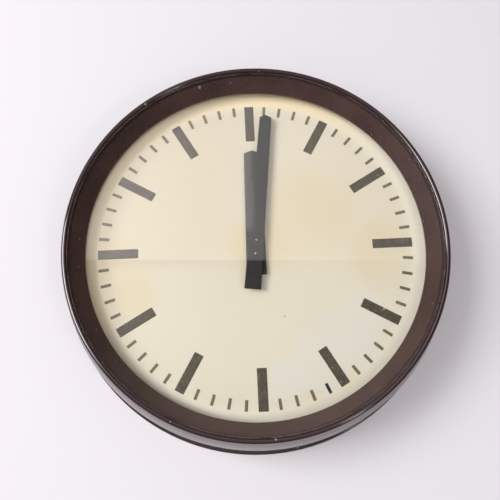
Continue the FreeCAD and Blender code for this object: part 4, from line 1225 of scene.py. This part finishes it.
@dataclass
class CaseAssembly(Assembly):
    """The moulded case with its hanger, cable entry and terminals; in millimetres and degrees."""

    finishes = {
        STEEL: ("hanger_plate", "hanger_screws", "terminal_fixing_screws"),
        BRASS: ("terminal_screws",),
        INSULATOR: ("terminal_block",),
        LEAD_SLEEVE: ("lead_wires",),
    }
    base_edge: float = 160.0
    rear_face: float = 0.5
    smooth_angle: float = 32.0
    grommet_bore: float = 3.5
    grommet_neck: float = 6.5
    neck_round: float = 0.2
    flange_thickness: float = 1.6
    flange_round: float = 0.6
    segments: int = 96

    def build(self) -> None:
        """Smooths the case and turns the grommet with soft lips."""
        self.carry(self.smooth_case(), "case", Slot.BAKELITE, "case_body")
        low, high = self.span("cable_grommet")
        centre, radius = (low + high) / 2, (high[0] - low[0]) / 2
        rear, front = -high[1], -low[1]
        flange, soft = self.flange_thickness, self.flange_round
        section = [
            Corner(self.grommet_bore, rear, soft),
            Corner(radius, rear, soft),
            Corner(radius, rear + flange, soft),
            Corner(self.grommet_neck, rear + flange, self.neck_round),
            Corner(self.grommet_neck, front - flange, self.neck_round),
            Corner(radius, front - flange, soft),
            Corner(radius, front, soft),
            Corner(self.grommet_bore, front, soft),
        ]
        axis = (centre[0], 0.0, centre[2])
        surface = Surface.swept(rounded(section), full_turn(self.segments), axis)
        self.carry(surface.piece("soft_grommet", RUBBER), "case", Slot.RUBBER, "cable_grommet")

    def smooth_case(self) -> bpy.types.Object:
        """Copies the CAD case with its shape kept, round faces smooth, and its base edge given
        polish and darkened as painted shade.

        Returns:
            The copy.
        """
        mesh = self.nodes["case_body"].data
        points = np.empty(len(mesh.vertices) * 3)
        mesh.vertices.foreach_get("co", points)
        points = points.reshape(-1, 3)
        # The front of the base flange takes the worn colour: polish, and painted shade under the
        # bezel's skirt.
        outside = np.hypot(points[:, 0], points[:, 2]) > self.base_edge * MM
        wear = (outside & (points[:, 1] < -self.rear_face * MM)).astype(float)
        corners = np.empty(len(mesh.loops), dtype=int)
        mesh.loops.foreach_get("vertex_index", corners)
        surface = Surface(points, corners.reshape(-1, 3).tolist(), wear)
        return surface.piece("case_body_smooth", BAKELITE, self.smooth_angle, turn_out=False)


@dataclass
class DialAssembly(Assembly):
    """The enamelled dial with its printed marks."""

    finishes = {
        DIAL_PAINT: ("dial_plate",),
        MARK_PRINT: ("hour_marks",),
        MINUTE_PRINT: ("minute_marks",),
        STEEL: ("dial_screws",),
    }


@dataclass
class HandsAssembly(Assembly):
    """The two hands with their bosses and domed rivets; sizes in millimetres and degrees."""

    finishes = {
        HAND_PAINT: ("minute_hand", "hour_hand"),
        RIVET_METAL: ("hour_hand_rivets",),
        BRASS: ("minute_hand_boss", "hour_hand_collet"),
    }
    minute_turn: float = 6.9
    rivet_reach: float = 5.8
    rivet_dome: float = 0.3
    dome_steps: int = 10
    segments: int = 40

    def build(self) -> None:
        """Turns the minute hand's rivets with domed heads.

        The dome's profile falls from its top by dome (1 - cos) as the radius grows with sin, a
        quarter of an ellipse.
        """
        low, high = self.span("minute_hand_rivets")
        turn = math.radians(self.minute_turn)
        across, up = self.rivet_reach * math.sin(turn), self.rivet_reach * math.cos(turn)
        radius = (high[0] - low[0]) / 2 - across
        rear, front = -high[1], -low[1]
        bend = np.linspace(0, math.pi / 2, self.dome_steps)
        fall = self.rivet_dome * (1 - np.cos(bend))
        dome = np.stack([radius * np.sin(bend), front - fall, np.zeros_like(bend)], axis=-1)
        profile = np.concatenate([dome, [[radius, rear, 0.0], [0.0, rear, 0.0]]])
        upper, lower = (
            Surface.swept(profile, full_turn(self.segments), (side * across, 0.0, side * up), False)
            for side in (1, -1)
        )
        piece = upper.joined(lower).piece("domed_rivets", RIVET_METAL)
        self.carry(piece, "minute_train", Slot.RIVET_METAL, "minute_hand_rivets")


@dataclass
class MovementAssembly(Assembly):
    """The stepping movement behind the dial: plates, wheels, magnet rotor, stator and coil."""

    finishes = {
        BRASS: (
            *("movement_back_plate", "movement_front_plate", "plate_pillars", "arbor_bushes"),
            *("stator_spacers", "centre_wheel", "cannon_pinion", "hour_wheel", "minute_wheel"),
            *("minute_wheel_pinion", "intermediate_wheel", "rotor_pinion"),
        ),
        STEEL: (
            *("pillar_screws", "pillar_rear_screws", "movement_screws", "stator_screws"),
            *("core_screws", "motion_stud", "centre_arbor", "intermediate_arbor"),
            *("intermediate_pinion", "rotor_shaft"),
        ),
        SOFT_IRON: ("stator_poles", "coil_core"),
        MAGNET: ("rotor_magnet",),
        INSULATOR: ("coil_bobbin",),
        COPPER: ("coil_winding",),
    }


@dataclass(frozen=True)
class Ground(Finish):
    """The pale sheet that the clock hangs on, seen from its front only."""

    colour: Colour = tone(230, 227, 231)
    clouded: Colour = tone(224, 220, 226)
    cloud: Clouds = Clouds(3.0, 0.4)

    def shade(self, graph: Graph) -> Socket:
        """Clouds the sheet faintly and clears it for a ray that meets its back.

        Args:
            graph: The material's nodes.

        Returns:
            The shader's outlet.
        """
        values = {
            "Base Color": graph.layers(self.colour, (self.cloud.lay(graph), 0.03, self.clouded)),
            "Roughness": 0.9,
            "Specular IOR Level": 0.1,
        }
        sheet = graph.add(PRINCIPLED, values).outputs[0]
        clear = graph.add("ShaderNodeBsdfTransparent").outputs[0]
        behind = graph.add("ShaderNodeNewGeometry").outputs["Backfacing"]
        return graph.add("ShaderNodeMixShader", {0: behind, 1: sheet, 2: clear}).outputs[0]


def stand(
    name: str, data: bpy.types.ID, place: Point, aim: Point, roll: float = 0.0
) -> bpy.types.Object:
    """Stands a lamp or camera in the scene.

    Args:
        name: Its name.
        data: The lamp or camera.
        place: Where it stands, in metres.
        aim: The point that it looks at.
        roll: How far it is rolled, in degrees.

    Returns:
        The object.
    """
    made = bpy.data.objects.new(name, data)
    made.location = place
    made.rotation_mode = "QUATERNION"
    look = (Vector(aim) - Vector(place)).to_track_quat("-Z", "Y")
    made.rotation_quaternion = look @ Quaternion((0.0, 0.0, 1.0), math.radians(roll))
    bpy.context.scene.collection.objects.link(made)
    log.info("set the %s", name)
    return made


@dataclass(frozen=True)
class Lamp:
    """A soft square lamp turned to the clock; place and size in metres, power in watts."""

    name: str
    place: Point
    size: float
    power: float
    aim: Point = (0.0, -0.03, 0.0)

    def hang(self) -> None:
        """Hangs the lamp in the scene."""
        lamp = bpy.data.lights.new(self.name, "AREA")
        lamp.size = self.size
        lamp.energy = self.power
        stand(self.name, lamp, self.place, self.aim)


@dataclass(frozen=True)
class Room:
    """The room's light by direction, and the screen that the glass mirrors to the camera.

    The light comes from the front, dimmer at the sides and high up, and from behind. A low sheet in
    front, which no point of the glass shows to the camera, fills the bezel's shadows. The screen is
    bright above a level edge and dim below it, with a patch at the lower right. Its places, and the
    sheet's, are slopes across and up from the glass.
    """

    front_left: Colour = (0.78, 0.75, 0.765, 1.0)
    front_right: Colour = (0.6, 0.575, 0.585, 1.0)
    rear: Colour = (0.85, 0.83, 0.85, 1.0)
    sheet: Colour = (2.0, 1.92, 1.95, 1.0)
    upper_left: Colour = (2.4, 2.26, 2.28, 1.0)
    upper_right: Colour = (0.6, 0.57, 0.58, 1.0)
    lower_left: Colour = (0.9, 0.86, 0.85, 1.0)
    lower_right: Colour = (0.1, 0.096, 0.095, 1.0)
    patch: Colour = (0.14, 0.15, 0.16, 1.0)
    seen_ground: Colour = tone(246, 241, 245)
    front_fade: Ramp = (0.7, -0.7)
    side_fade: Ramp = (-0.75, -0.3)
    side_dim: float = 0.65
    high_foot: Ramp = (0.0, 0.2)
    high_top: Ramp = (0.85, 0.65)
    high_dim: float = 0.7
    rear_fade: Ramp = (0.1, 0.5)
    mirror_dim: float = 0.85
    flattest: float = 0.01
    middle: float = 0.03
    sheet_side: Ramp = (0.6, 0.4)
    sheet_top: Ramp = (-0.05, -0.09)
    sheet_foot: Ramp = (-0.7, -0.5)
    screen_side: Ramp = (0.5, 0.36)
    screen_top: Ramp = (0.68, 0.58)
    screen_foot: Ramp = (-0.09, -0.05)
    upper_fade: Ramp = (0.3, -0.4)
    lower_fade: Ramp = (0.02, -0.32)
    edge: Ramp = (0.2495, 0.2555)
    edge_tilt: float = 0.0476
    patch_edge: Ramp = (-0.02, 0.03)
    patch_tilt: float = 0.517
    patch_rise: float = 0.0378

    def light(self) -> None:
        """Lights the scene; mirrors show the screen in a dimmer room, the camera plain ground."""
        world = bpy.data.worlds.new("room")
        bpy.context.scene.world = world
        world.use_nodes = True
        graph = Graph(world.node_tree, outlet="Generated")
        way, ray = graph.split(), graph.add("ShaderNodeLightPath").outputs
        out = graph.most(graph.math("ABSOLUTE", way["Y"]), self.flattest)
        across, up = graph.over(way["X"], out), graph.over(way["Z"], out)
        aside = graph.apart(across, self.middle)
        level = graph.plus(up, graph.times(across, self.edge_tilt))
        border = graph.plus(graph.times(across, self.patch_tilt), self.patch_rise)
        shine = graph.layers(
            self.lower_right,
            (graph.step(across, *self.lower_fade), 1.0, self.lower_left),
            (graph.step(graph.minus(border, up), *self.patch_edge), 1.0, self.patch),
        )
        upper = graph.blend(graph.step(across, *self.upper_fade), self.upper_right, self.upper_left)
        shine = graph.blend(graph.step(level, *self.edge), shine, upper)
        mirrored = ray["Is Glossy Ray"]
        screen = graph.within(mirrored, (aside, self.screen_side), (up, self.screen_top))
        screen = graph.within(screen, (up, self.screen_foot))
        sheet = graph.step(aside, *self.sheet_side)
        sheet = graph.within(sheet, (up, self.sheet_top), (up, self.sheet_foot))
        high = graph.step(way["Z"], *self.high_foot)
        high = graph.within(high, (way["Z"], self.high_top))
        colour = graph.layers(
            self.front_right,
            (graph.step(way["X"], *self.front_fade), 1.0, self.front_left),
            (graph.step(way["Y"], *self.side_fade), self.side_dim, BLACK),
            (high, self.high_dim, BLACK),
            (sheet, 1.0, self.sheet),
            (graph.step(way["Y"], *self.rear_fade), 1.0, self.rear),
            (mirrored, self.mirror_dim, BLACK),
            (screen, 1.0, shine),
            (ray["Is Camera Ray"], 1.0, self.seen_ground),
        )
        sky = graph.add("ShaderNodeBackground", {"Color": colour}).outputs[0]
        graph.add("ShaderNodeOutputWorld", {"Surface": sky})
        log.info("lit the room")


@dataclass
class Studio:
    """The ground, in millimetres, and the lamps and camera, in metres and degrees."""

    ground_hole: float = 164.5
    ground_reach: float = 3000.0
    ground_gap: float = 0.5
    ground_rings: int = 12
    ground_segments: int = 96
    lamps: tuple[Lamp, ...] = (
        Lamp("left_lamp", place=(-1.3, -1.55, 0.2), size=1.0, power=29.5),
        Lamp("low_lamp", place=(0.5, -1.2, -0.6), size=0.15, power=1.0),
    )
    eye: Point = (-0.01359, -0.4984, -0.12634)
    aim: Point = (-0.00482, -0.034, -0.00071)
    roll: float = -2.71
    lens: float = 41.487
    near_clip: float = 0.01

    def build(self) -> None:
        """Sets the ground, the room's light, the lamps and the camera."""
        self.lay_ground()
        Room().light()
        for lamp in self.lamps:
            lamp.hang()
        self.set_camera()
        bpy.context.scene.view_settings.view_transform = "Standard"

    def lay_ground(self) -> None:
        """Lays the ground: a flat ring that shrinks from its edge to the hole behind the case."""
        radius = np.geomspace(self.ground_reach, self.ground_hole, self.ground_rings)
        depth = np.full_like(radius, -self.ground_gap)
        profile = np.stack([radius, depth, np.zeros_like(radius)], axis=-1)
        sheet = Surface.swept(profile, full_turn(self.ground_segments), closed=False)
        piece = sheet.piece("ground", Ground(Slot.GROUND), turn_out=False)
        log.info("laid the ground")

    def set_camera(self) -> None:
        """Stands the camera below the clock's middle, looking up at it and rolled a little."""
        camera = bpy.data.cameras.new("camera")
        camera.lens = self.lens
        camera.clip_start = self.near_clip
        bpy.context.scene.camera = stand("camera", camera, self.eye, self.aim, self.roll)


def main() -> None:
    """Builds and dresses each assembly and sets the studio."""
    logging.basicConfig(level=logging.INFO, format="%(name)s: %(message)s")
    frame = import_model()
    for kind in (BezelAssembly, CaseAssembly, DialAssembly, HandsAssembly, MovementAssembly):
        assembly = kind(frame["nodes"])
        assembly.build()
        assembly.dress()
    Studio().build()
    log.info("noted the sizes")


if __name__ == "__main__":
    main()
